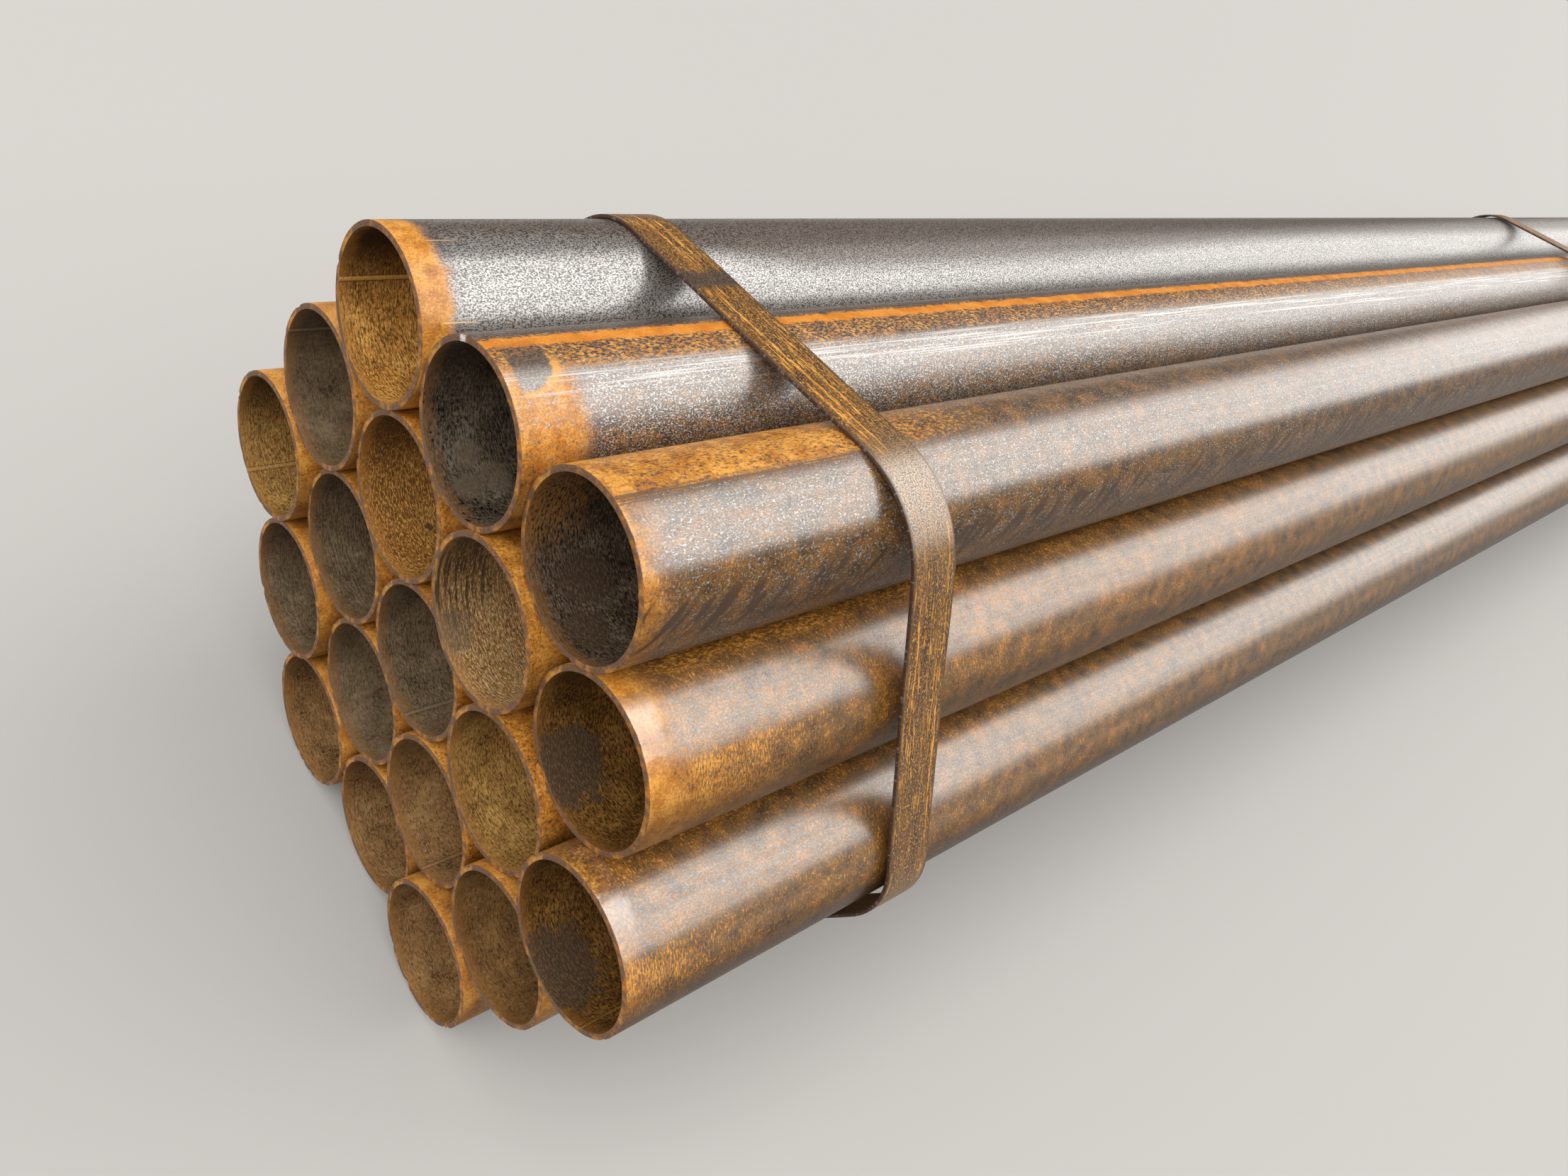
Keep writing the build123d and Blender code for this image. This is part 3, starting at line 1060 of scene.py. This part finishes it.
def strap_rust(sheet, lines, along, across, strip, wear_and_highlight, clouds):
    """Mask of the rust on a strap: streaks, flecks, and the lines that wander along it."""
    runs = sheet.grains(strip, 0.008, stretch=12.0, cover=0.5, softness=0.1)
    streaks = sheet.grains(strip, 0.0014, stretch=14.0, cover=0.35, softness=0.04, detail=3.0)
    streaks = sheet.times(streaks, sheet.between(runs, 0.1, 1.0))
    flecks = sheet.grains(strip, 0.0013, stretch=1.7, cover=0.33, softness=0.04)
    rust = sheet.most(streaks, sheet.times(flecks, 0.8))
    rust = sheet.times(rust, sheet.between(wear_and_highlight, 1.0, 0.3))
    breaks = sheet.grains(strip, 0.0016, stretch=6.0, cover=0.58, softness=0.06)
    for start, end, beside, lean, width in lines:
        wander = sheet.scaled(sheet.minus(along, start), lean, beside)
        wander = sheet.plus(wander, sheet.rise(clouds, 0.0, 1.0, -0.0008, 0.0008))
        off_line = sheet.unsigned(sheet.minus(across, wander))
        within = sheet.hump(along, start, start + 0.012, end - 0.03, end)
        line = sheet.times(sheet.fall(off_line, width / 2, width), within, breaks)
        rust = sheet.most(rust, line)
    return rust


def strap_material(name, look, seed, settings):
    """Strap steel: speckled brown, dark runs, orange lines, a shoulder lighter by rubbing and
    painted highlight.
    """
    colours = settings.pipe_bundle_colours
    material, sheet, shader = start_material(name)
    along, across, edge, wear_and_highlight = (
        sheet.node("ShaderNodeAttribute", attribute_name=measure).outputs["Fac"]
        for measure in STRAP_MEASURES
    )
    strip = sheet.combine(sheet.plus(along, seed * 3.1), across, edge)

    grain = sheet.grains(strip, 0.0011, cover=0.5, softness=0.08)
    clouds = sheet.grains(strip, 0.012, stretch=5.0, softness=0.2, detail=4.0)
    film = sheet.times(clouds, sheet.between(grain, 0.35, 0.8), sheet.between(wear_and_highlight, 1.0, 0.4))
    # The shoulder is lighter and warmer: partly rubbed, partly a painted highlight under its sheen
    rubbed_and_highlight = sheet.times(wear_and_highlight, sheet.between(grain, 0.25, 0.85))
    dark_runs = sheet.grains(strip, 0.0032, stretch=26.0, cover=0.4, softness=0.1)
    dark_runs = sheet.times(dark_runs, sheet.between(wear_and_highlight, 0.6, 0.25))
    rust = strap_rust(sheet, look.lines, along, across, strip, wear_and_highlight, clouds)
    colour = sheet.paint(
        sheet.blend(grain, STRAP_GROUND, colours.strap),
        (film, 1.0, STRAP_FILM),
        (rubbed_and_highlight, 1.0, STRAP_RUBBED_AND_HIGHLIGHT),
        (dark_runs, 1.0, STRAP_RUN),
        (rust, 1.0, sheet.rust(strip, 0.002, colours.rust(), brightness=0.75)),
    )
    for centre, reach in look.dull:
        away = sheet.scaled(clouds, 0.3 * reach, sheet.unsigned(sheet.minus(along, centre)))
        dull = sheet.rise(away, 0.6 * reach, 1.2 * reach, 0.9, 0.0)
        rust = sheet.times(rust, sheet.rest(dull))
        colour = sheet.paint(colour, (dull, 1.0, sheet.blend(grain, PATCH_DARK, PATCH_BRIGHT)))
    bare = sheet.grains(strip, 0.0012, stretch=2.0, cover=0.3, softness=0.06)
    clean = sheet.times(bare, sheet.rest(rust))
    colour = sheet.paint(
        colour, (edge, 1.0, colours.strap_edge), (clean, 0.25, colours.scale_bright),
    )
    gloss = sheet.between(sheet.times(wear_and_highlight, sheet.rise(grain, 0.0, 1.0, 0.3, 1.0)), 0.03, 1.0)
    gloss = sheet.times(gloss, sheet.between(edge, 1.0, 0.1), sheet.between(rust, 1.0, 0.6))
    sheet.fill(shader, {
        "Base Color": colour,
        "Metallic": sheet.times(clean, 0.4),
        "Roughness": sheet.between(rust, 0.40, 0.55),
        "Coat Weight": gloss,
        "Coat Roughness": 0.3,
        "Coat IOR": 4.2,
        **DULL_BASE,
    })
    relief(sheet, shader, (grain, 0.05), (rust, 0.05), (clouds, 0.1))
    return material


def weld_material(settings):
    """Weld bead: dark silver with heat colours and a little rust in its ripples."""
    colours = settings.pipe_bundle_colours
    material, sheet, shader = start_material("Weld Bead")
    local = sheet.node("ShaderNodeTexCoord").outputs["Object"]
    soot = sheet.grains(local, 0.003, cover=0.4, softness=0.15)
    spots = sheet.grains(local, 0.0016, cover=0.25)
    sheet.fill(shader, {
        "Base Color": sheet.paint(
            sheet.blend(sheet.times(soot, 0.8), colours.weld, colours.scale_dark),
            (spots, 0.8, colours.rust_middle),
        ),
        "Metallic": sheet.between(spots, 0.9, 0.1),
        "Roughness": sheet.between(soot, 0.3, 0.5),
    })
    relief(sheet, shader, (soot, 0.05), (spots, 0.06))
    return material


def floor_material(settings):
    """Pale floor that keeps the bundle's shadow, and bounces less light than it shows."""
    stage = settings.pipe_bundle_stage
    material, sheet, shader = start_material("Pale Floor")
    local = sheet.node("ShaderNodeTexCoord").outputs["Object"]
    blotches = sheet.rise(sheet.noise(local, 1.2, 4.0, 0.6), 0.3, 0.7, 0.0, 0.06)
    pale = sheet.paint(stage.floor_colour, (blotches, 1.0, FLOOR_BLOTCH))
    rays = sheet.node("ShaderNodeLightPath").outputs
    seen = sheet.most(*(rays[f"Is {kind} Ray"] for kind in ("Camera", "Glossy", "Transmission")))
    bounced = sheet.blend(0.8, pale, FLOOR_BOUNCE)
    sheet.fill(shader, {"Base Color": sheet.blend(seen, bounced, pale), "Roughness": 0.8})
    return material


def soft_sky(stage):
    """Even light from all round, a broad bright sky on the -Y side and a weaker one behind."""
    world = bpy.data.worlds.new("Soft Sky")
    world.use_nodes = True
    world.node_tree.nodes.clear()
    sheet = Sheet(world.node_tree)
    ahead, aside, up = sheet.separate(sheet.node("ShaderNodeTexCoord").outputs["Generated"])
    raised = sheet.scaled(aside, 0.45, up)
    key = sheet.times(sheet.rise(raised, 0.0, 0.1), sheet.fall(aside, 0.1, 0.35))
    behind = sheet.times(sheet.fall(ahead, 0.0, 0.4), sheet.rise(aside, 0.2, 0.5))
    weak = sheet.times(behind, sheet.rise(up, 0.05, 0.25))
    front = sheet.times(sheet.fall(ahead, -0.7, -0.3), sheet.rise(up, -0.05, 0.15))
    strength = sheet.scaled(key, stage.key_strength, stage.sky_strength)
    strength = sheet.scaled(weak, stage.fill_strength, strength)
    strength = sheet.scaled(front, stage.front_strength, strength)
    light = sheet.node("ShaderNodeBackground", {"Color": SKY_COLOUR, "Strength": strength})
    sheet.node("ShaderNodeOutputWorld", {"Surface": light.outputs[0]})
    return world


def smooth_mesh(name, points, faces, sharp_angle=None):
    """A smooth mesh, with sharp edges where its faces meet at more than an angle in degrees."""
    mesh = bpy.data.meshes.new(name)
    mesh.from_pydata(points, [], faces)
    mesh.shade_smooth()
    if sharp_angle:
        mesh.set_sharp_from_angle(angle=math.radians(sharp_angle))
    return mesh


def place_piece(mesh, node=None, place=ORIGIN):
    """Puts a piece on the bundle's body, in place of a CAD node."""
    piece = bpy.data.objects.new(mesh.name, mesh)
    piece.location = place
    bpy.context.scene.collection.objects.link(piece)
    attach(piece, "root")
    if node:
        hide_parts(node)


def ring_faces(rings, round_count):
    """Faces that join rings of points in order, each ring to the next."""
    faces = []
    for ring in range(rings - 1):
        start = ring * round_count
        for step in range(round_count):
            following = (step + 1) % round_count
            corners = (step, following, following + round_count, step + round_count)
            faces.append(tuple(start + corner for corner in corners))
    return faces


def end_caps(rings, round_count):
    """The two faces that close rings of points at their ends."""
    last = (rings - 1) * round_count
    return [tuple(reversed(range(round_count))), tuple(range(last, last + round_count))]


def off_angle(angles, middle):
    """The shorter way round from one angle to others, in degrees."""
    return (angles - middle + 180.0) % 360.0 - 180.0


def tube_profile(sizes, length):
    """A tube's closed section: distance from the mouth, radius and surface, ring by ring."""
    outer = sizes.diameter / 2
    inner = outer - sizes.wall
    rim, lip = sizes.rim_round, sizes.rim_round / 2
    stations = [*RING_PLACES, length / 2, *(length - x for x in reversed(RING_PLACES))]
    turns = [math.radians(angle) for angle in (0, 30, 60, 90)]

    near_outer = [(rim - rim * math.cos(t), outer - rim + rim * math.sin(t), "cut") for t in turns]
    near_inner = [(lip - lip * math.cos(t), inner + lip - lip * math.sin(t), "cut") for t in turns]
    far_outer = [(length - x, radius, surface) for x, radius, surface in reversed(near_outer)]
    far_inner = [(length - x, radius, surface) for x, radius, surface in near_inner]
    middle = (outer + inner) / 2
    return [
        *near_outer, *((x, outer, "wall") for x in stations), *far_outer, (length, middle, "cut"),
        *far_inner, *((x, inner, "bore") for x in reversed(stations)), *reversed(near_inner),
        (0.0, middle, "cut"),
    ]


def clock_angles(sizes, seam):
    """Angles round a pipe, closer together at its weld seam."""
    even = np.linspace(-180.0, 180.0, sizes.segments, endpoint=False)
    width = math.degrees(sizes.seam_width / (sizes.diameter / 2 - sizes.wall))
    fine = seam + width * np.array([-1.5, -1.0, -0.7, -0.4, 0.0, 0.4, 0.7, 1.0, 1.5])
    apart = np.abs(off_angle(even, seam)) > 1.7 * width
    return np.sort(off_angle(np.concatenate([even[apart], fine]), 0.0))


def rim_nicks(sizes, angles, dice):
    """How deep the rim is nicked at each angle."""
    depth = RIM_WAVE * (1.0 + np.sin(np.radians(angles * 7.0 + dice.uniform(0.0, 360.0))))
    for _ in range(dice.randint(5, 9)):
        middle, width = dice.uniform(-180.0, 180.0), dice.uniform(1.2, 3.0)
        away = off_angle(angles, middle)
        depth += dice.uniform(0.3, 1.0) * sizes.nick_depth * np.exp(-((away / width) ** 2))
    return depth


def pipe_points(sizes, profile, angles, seam_angle, dice):
    """Points of a pipe, ring by ring, with its seam raised inside and its rims nicked."""
    inner = sizes.diameter / 2 - sizes.wall
    aside = np.radians(off_angle(angles, seam_angle)) * inner
    seam = sizes.seam_height * np.exp(-((aside / (0.6 * sizes.seam_width)) ** 2))
    near_nicks, far_nicks = rim_nicks(sizes, angles, dice), rim_nicks(sizes, angles, dice)
    clock = np.radians(angles)
    lip = inner + sizes.rim_round / 2
    rings = []
    for x, radius, surface in profile:
        radii = np.full(len(angles), radius)
        along = np.full(len(angles), x)
        if radius <= lip:
            radii -= seam * np.clip((lip - radius) * 4e3, 0.0, 1.0)
        if surface == "cut" and radius > inner + 0.001:
            near = x < 1.0
            depth = near_nicks if near else far_nicks
            along += depth if near else -depth
            radii -= 0.7 * depth
        rings.append(np.column_stack([along, -radii * np.sin(clock), radii * np.cos(clock)]))
    return np.concatenate(rings).tolist()


def pipe_piece(node, settings, sawn_end):
    """Builds one pipe as a turned tube with a seam inside, and puts its finishes on."""
    sizes = settings.pipe_bundle_pipes
    number = int(node[-2:])
    low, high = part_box(node)
    look = BORES[node]
    angles = clock_angles(sizes, look.seam)
    profile = tube_profile(sizes, high.x - low.x)
    points = pipe_points(sizes, profile, angles, look.seam, random.Random(number))
    faces = ring_faces(len(profile), len(angles))
    closing = (len(profile) - 1) * len(angles)
    for step in range(len(angles)):
        following = (step + 1) % len(angles)
        faces.append((closing + step, closing + following, following, step))

    mesh = smooth_mesh(f"{node}_tube", points, faces, PIPE_SHARP_ANGLE)
    for face in mesh.polygons:
        ring = face.index // len(angles)
        pair = {profile[ring][2], profile[(ring + 1) % len(profile)][2]}
        face.material_index = 0 if "wall" in pair else 1 if "bore" in pair else 2
    mesh.validate()
    wall_look = WALLS.get(node, INNER_WALL)
    mesh.materials.append(wall_material(f"Wall {number:02}", wall_look, number, settings))
    mesh.materials.append(bore_material(f"Bore {number:02}", look, number, settings))
    mesh.materials.append(sawn_end)
    centre = (low.x, (low.y + high.y) / 2, (low.z + high.z) / 2)
    place_piece(mesh, node, centre)


def turned(vector, degrees):
    """A flat vector turned to the left."""
    angle = math.radians(degrees)
    x, y = vector
    return np.array(
        [x * math.cos(angle) - y * math.sin(angle), x * math.sin(angle) + y * math.cos(angle)]
    )


def meeting(first, second):
    """Where two lines, each a point and a direction, meet."""
    (start, step), (other, other_step) = first, second
    share = np.linalg.solve(np.column_stack([step, -other_step]), other - start)[0]
    return start + share * step


def strap_corners(run, sizes, pitch):
    """Corners of a strap's inner face and the bend radius at each, from its covered end round.

    A point is Y and the height above the bundle's middle.
    """
    snug = (FIRST_PIPE_HIGH.y - FIRST_PIPE_LOW.y) / 2 + sizes.gap
    corner_pipes = [turned((2 * pitch, 0.0), 60.0 * (side + 1)) for side in range(7)]
    outwards = [turned((0.0, 1.0), 60.0 * side) for side in range(7)]

    def side_line(side, slack=(0.0, 0.0)):
        """The strap's line along one side of the bundle."""
        start = corner_pipes[side] + outwards[side] * (snug + slack[0])
        end = corner_pipes[side + 1] + outwards[side] * (snug + slack[1])
        return start, end - start

    up_flank = corner_pipes[0] - corner_pipes[LAP_SIDE]
    up_flank = up_flank / np.linalg.norm(up_flank)
    foot = corner_pipes[LAP_SIDE] + outwards[LAP_SIDE] * snug
    upper_leaf = foot + outwards[LAP_SIDE] * (sizes.thickness + sizes.leaf_gap)
    covered_end = foot + up_flank * sizes.lap_start
    knee = upper_leaf + up_flank * (sizes.lap_start - sizes.lap_ramp)
    welded_end = upper_leaf + up_flank * (sizes.lap_start + sizes.lap_length)
    lines = [
        (foot, up_flank), side_line(0, run.top), side_line(1, run.upper), side_line(2, run.lower),
        side_line(3), side_line(4), (foot, knee - foot),
    ]
    corners = [meeting(line, following) for line, following in zip(lines, lines[1:])]
    radii = [snug] * (len(corners) + 1)
    radii[1] += sizes.bend_ease * max(run.top[1], run.upper[0])
    return [covered_end, *corners, knee, welded_end], radii


def rounded_course(corners, radii):
    """Points, outward normals and shares of rubbing and painted highlight along runs with rounded
    corners.
    """
    tangents = [(b - a) / np.linalg.norm(b - a) for a, b in zip(corners, corners[1:])]
    points, normals, bends = [], [], []

    def add(point, tangent, bend=0.0):
        """Adds a point of the course."""
        points.append(point)
        normals.append(turned(tangent, -90.0))
        bends.append(bend)

    def add_run(start, end, tangent):
        """Adds the points of a straight run."""
        count = max(1, round(float(np.linalg.norm(end - start)) / COURSE_SPACING))
        for share in np.linspace(0.0, 1.0, count + 1):
            add(start + (end - start) * share, tangent)

    start = corners[0]
    for index, radius in enumerate(radii):
        before, after = tangents[index], tangents[index + 1]
        cross = before[0] * after[1] - before[1] * after[0]
        turn = math.atan2(cross, float(before @ after))
        cut = radius * math.tan(abs(turn) / 2)
        end = corners[index + 1] - before * cut
        add_run(start, end, before)
        centre = end + turned(before, 90.0) * radius * math.copysign(1.0, turn)
        steps = max(2, math.ceil(abs(math.degrees(turn)) / 4.0))
        corner_wear_and_highlight = 1.0 if index == RUBBED_AND_HIGHLIGHT_CORNER else 0.1
        for step in range(1, steps):
            share = step / steps
            wear_and_highlight = corner_wear_and_highlight * (1.0 - 0.85 * max(0.0, share - 0.4) / 0.6)
            angle = math.degrees(turn) * step / steps
            add(centre + turned(end - centre, angle), turned(before, angle), wear_and_highlight)
        start = corners[index + 1] + after * cut
    add_run(start, corners[-1], tangents[-1])
    softened = np.convolve(np.pad(bends, 2, "edge"), np.full(5, 0.2), "valid")
    return np.array(points), np.array(normals), softened


def strip_section(sizes):
    """The strip's cross-section: place across, height above its inner face and share of edge."""
    half, rim = sizes.width / 2, sizes.edge_round
    section = []
    for side, place in ((1.0, 0.0), (1.0, 1.0), (-1.0, 1.0), (-1.0, 0.0)):
        for step in range(4):
            turn = math.radians(30.0 * step)
            ahead, aside = math.sin(turn), math.cos(turn)
            if (side > 0) == (place > 0):
                ahead, aside = aside, ahead
            across = side * (half - rim + rim * ahead)
            height = sizes.thickness * place + (rim - rim * aside) * (1.0 - 2.0 * place)
            section.append((across, height, 1.0 if ahead > 0.6 else 0.5))
        if (side, place) in FACE_PLACES:
            height = sizes.thickness * place
            section += [(share * half, height, 0.0) for share in FACE_PLACES[side, place]]
    return section


def strap_line(node, sizes):
    """How a strap runs: its settings, and its middle's place along the bundle, height and pitch."""
    low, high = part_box("pipe_10")
    beside_low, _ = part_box("pipe_09")
    number = int(node[-1])
    run = STRAP_RUNS[number - 1]
    spacing = (PIPE_LENGTH - 2 * sizes.end_margin) / (len(STRAP_NODES) - 1)
    middle = sizes.end_margin + (number - 1) * spacing + run.move - PIPE_LENGTH / 2
    return run, middle, (low.z + high.z) / 2, beside_low.y - low.y


def strap_point(flat, middle, run, height):
    """A point across the bundle and its place along it, on a strap's skewed middle line."""
    return Vector((middle - math.tan(math.radians(run.skew)) * flat[0], flat[0], flat[1] + height))


def strap_piece(node, settings):
    """Builds one strap: the strip's section carried round its course, skewed along the bundle."""
    sizes = settings.pipe_bundle_straps
    number = int(node[-1])
    run, middle, height, pitch = strap_line(node, sizes)
    course, normals, bends = rounded_course(*strap_corners(run, sizes, pitch))
    lengths = np.concatenate([[0.0], np.cumsum(np.linalg.norm(np.diff(course, axis=0), axis=1))])
    section = strip_section(sizes)
    widen = 1.0 / math.cos(math.radians(run.skew))
    dice = random.Random(100 + number)
    phase = [dice.uniform(0.0, 6.3) for _ in range(4)]

    points, measures = [], []
    for point, normal, length, bend in zip(course, normals, lengths, bends):
        sway = SWAY * math.sin(length * 23.0 + phase[0])
        sway += FINE_SWAY * math.sin(length * 61.0 + phase[1])
        for across, lift, edge in section:
            swell = -SWELL * (1.0 + math.sin(length * 90.0 + phase[2] + across * 120.0))
            flat = point + normal * (lift + (swell - 0.00004 if lift > 0.001 else 0.0))
            place = strap_point(flat, middle, run, height)
            place.x += across * widen + sway
            points.append(place)
            measures.append((length, across, edge, bend))
    faces = ring_faces(len(course), len(section)) + end_caps(len(course), len(section))

    mesh = smooth_mesh(f"{node}_band", points, faces, STRAP_SHARP_ANGLE)
    for name, values in zip(STRAP_MEASURES, zip(*measures)):
        mesh.attributes.new(name, "FLOAT", "POINT").data.foreach_set("value", values)
    mesh.materials.append(strap_material(f"Strap {number}", run, number, settings))
    place_piece(mesh, node)


def bead_mesh(name, start, end, up, radius, dice):
    """A rippled weld bead between two points: short overlapping drops of weld, half sunk in."""
    axis = end - start
    length = axis.length
    axis.normalize()
    side = axis.cross(up).normalized()
    over = side.cross(axis)
    steps = max(8, round(length / BEAD_STEP))
    points = []
    for step in range(steps + 1):
        x = length * step / steps
        ripple = abs(math.sin(math.pi * x / RIPPLE_LENGTH)) ** 0.6
        from_end = min(x, length - x)
        taper = min(1.0, (from_end + BEAD_STEP) / BEAD_TAPER) ** 0.5
        size = radius * taper * (0.88 + 0.10 * ripple + dice.uniform(-0.02, 0.02))
        for turn in range(BEAD_SIDES):
            angle = math.tau * turn / BEAD_SIDES
            lag = BEAD_LAG * math.cos(angle)
            outwards = side * math.sin(angle) + over * math.cos(angle)
            points.append(start + axis * (x - lag) + outwards * size)
    faces = ring_faces(steps + 1, BEAD_SIDES) + end_caps(steps + 1, BEAD_SIDES)
    return smooth_mesh(name, points, faces)


def weld_piece(node, settings, metal):
    """Lays the weld bead across the end of a strap's outer leaf."""
    sizes = settings.pipe_bundle_straps
    run, middle, height, pitch = strap_line(node, sizes)
    corners, _ = strap_corners(run, sizes, pitch)
    outward = turned((0.0, 1.0), 60.0 * LAP_SIDE)
    toe = corners[-1] - outward * sizes.leaf_gap
    half_width = sizes.width / 2 / math.cos(math.radians(run.skew))
    half = Vector((half_width - BEAD_INSET, 0.0, 0.0))
    place = strap_point(toe, middle, run, height)
    up = Vector((0.0, *outward))
    dice = random.Random(int(node[-1]))
    mesh = bead_mesh(f"{node}_weld", place - half, place + half, up, sizes.weld_radius, dice)
    mesh.materials.append(metal)
    place_piece(mesh)


class BUNDLE_OT_effects(bpy.types.Operator):
    """Make the surface effects that the bundle's materials share"""

    bl_idname = "pipe_bundle.effects"
    bl_label = "Make Surface Effects"

    def execute(self, context):
        pipe_coordinates_effect()
        grains_effect()
        ragged_band_effect()
        soft_patch_effect()
        rust_tone_effect()
        pits_effect()
        return {"FINISHED"}


class BUNDLE_OT_pipes(bpy.types.Operator):
    """Build the pipes with their seams, nicked rims and finishes"""

    bl_idname = "pipe_bundle.pipes"
    bl_label = "Build Pipes"

    def execute(self, context):
        sawn_end = cut_material("Sawn End", context.scene)
        nicked_end = cut_material("Nicked End", context.scene, NICK_CLOCK)
        for node in PIPE_NODES:
            pipe_piece(node, context.scene, nicked_end if node == NICKED_PIPE else sawn_end)
        return {"FINISHED"}


class BUNDLE_OT_straps(bpy.types.Operator):
    """Build the lapped straps round the bundle"""

    bl_idname = "pipe_bundle.straps"
    bl_label = "Build Straps"

    def execute(self, context):
        for node in STRAP_NODES:
            strap_piece(node, context.scene)
        return {"FINISHED"}


class BUNDLE_OT_welds(bpy.types.Operator):
    """Lay the weld beads on the straps' laps"""

    bl_idname = "pipe_bundle.welds"
    bl_label = "Lay Welds"

    def execute(self, context):
        metal = weld_material(context.scene)
        for node in STRAP_NODES:
            weld_piece(node, context.scene, metal)
        return {"FINISHED"}


class BUNDLE_OT_stage(bpy.types.Operator):
    """Set up the floor, the light and the camera"""

    bl_idname = "pipe_bundle.stage"
    bl_label = "Set Stage"

    def execute(self, context):
        scene = context.scene
        stage = scene.pipe_bundle_stage
        scene.view_settings.view_transform = "Standard"
        scene.world = soft_sky(stage)

        half = stage.floor_size / 2
        ticks = np.linspace(-half, half, FLOOR_CELLS + 1)
        points = [(x, y, 0.0) for y in ticks for x in ticks]
        faces = []
        for row in range(FLOOR_CELLS):
            for column in range(FLOOR_CELLS):
                corner = row * len(ticks) + column
                across = corner + len(ticks)
                faces.append((corner, corner + 1, across + 1, across))
        mesh = bpy.data.meshes.new("floor")
        mesh.from_pydata(points, [], faces)
        mesh.materials.append(floor_material(scene))
        floor = bpy.data.objects.new("floor", mesh)
        scene.collection.objects.link(floor)

        lens = bpy.data.cameras.new("camera")
        lens.sensor_width = 36.0
        lens.lens = stage.lens
        lens.clip_start = 0.01
        camera = bpy.data.objects.new("camera", lens)
        camera.location = stage.camera_place
        camera.rotation_euler = stage.camera_turn
        scene.collection.objects.link(camera)
        scene.camera = camera
        return {"FINISHED"}


class BUNDLE_PT_panel(bpy.types.Panel):
    """The bundle's settings and the steps that build it"""

    bl_label = "Pipe Bundle"
    bl_idname = "BUNDLE_PT_panel"
    bl_space_type = "VIEW_3D"
    bl_region_type = "UI"
    bl_category = "Pipe Bundle"

    def draw(self, context):
        steps = {
            "pipe_bundle_colours": ["pipe_bundle.effects"],
            "pipe_bundle_pipes": ["pipe_bundle.pipes"],
            "pipe_bundle_straps": ["pipe_bundle.straps", "pipe_bundle.welds"],
            "pipe_bundle_stage": ["pipe_bundle.stage"],
        }
        for group, operators in steps.items():
            settings = getattr(context.scene, group)
            box = self.layout.box()
            for name in settings.__annotations__:
                box.prop(settings, name)
            for operator in operators:
                box.operator(operator)


GROUPS = {
    "pipe_bundle_pipes": PipeSizes,
    "pipe_bundle_straps": StrapSizes,
    "pipe_bundle_colours": FinishColours,
    "pipe_bundle_stage": StageSettings,
}
CLASSES = (
    *GROUPS.values(),
    BUNDLE_OT_effects,
    BUNDLE_OT_pipes,
    BUNDLE_OT_straps,
    BUNDLE_OT_welds,
    BUNDLE_OT_stage,
    BUNDLE_PT_panel,
)


def register():
    for kind in CLASSES:
        bpy.utils.register_class(kind)
    for name, kind in GROUPS.items():
        setattr(bpy.types.Scene, name, PointerProperty(type=kind))


def unregister():
    for name in GROUPS:
        delattr(bpy.types.Scene, name)
    for kind in reversed(CLASSES):
        bpy.utils.unregister_class(kind)


def main():
    register()
    bpy.ops.pipe_bundle.effects()
    bpy.ops.pipe_bundle.pipes()
    bpy.ops.pipe_bundle.straps()
    bpy.ops.pipe_bundle.welds()
    bpy.ops.pipe_bundle.stage()


if __name__ == "__main__":
    main()
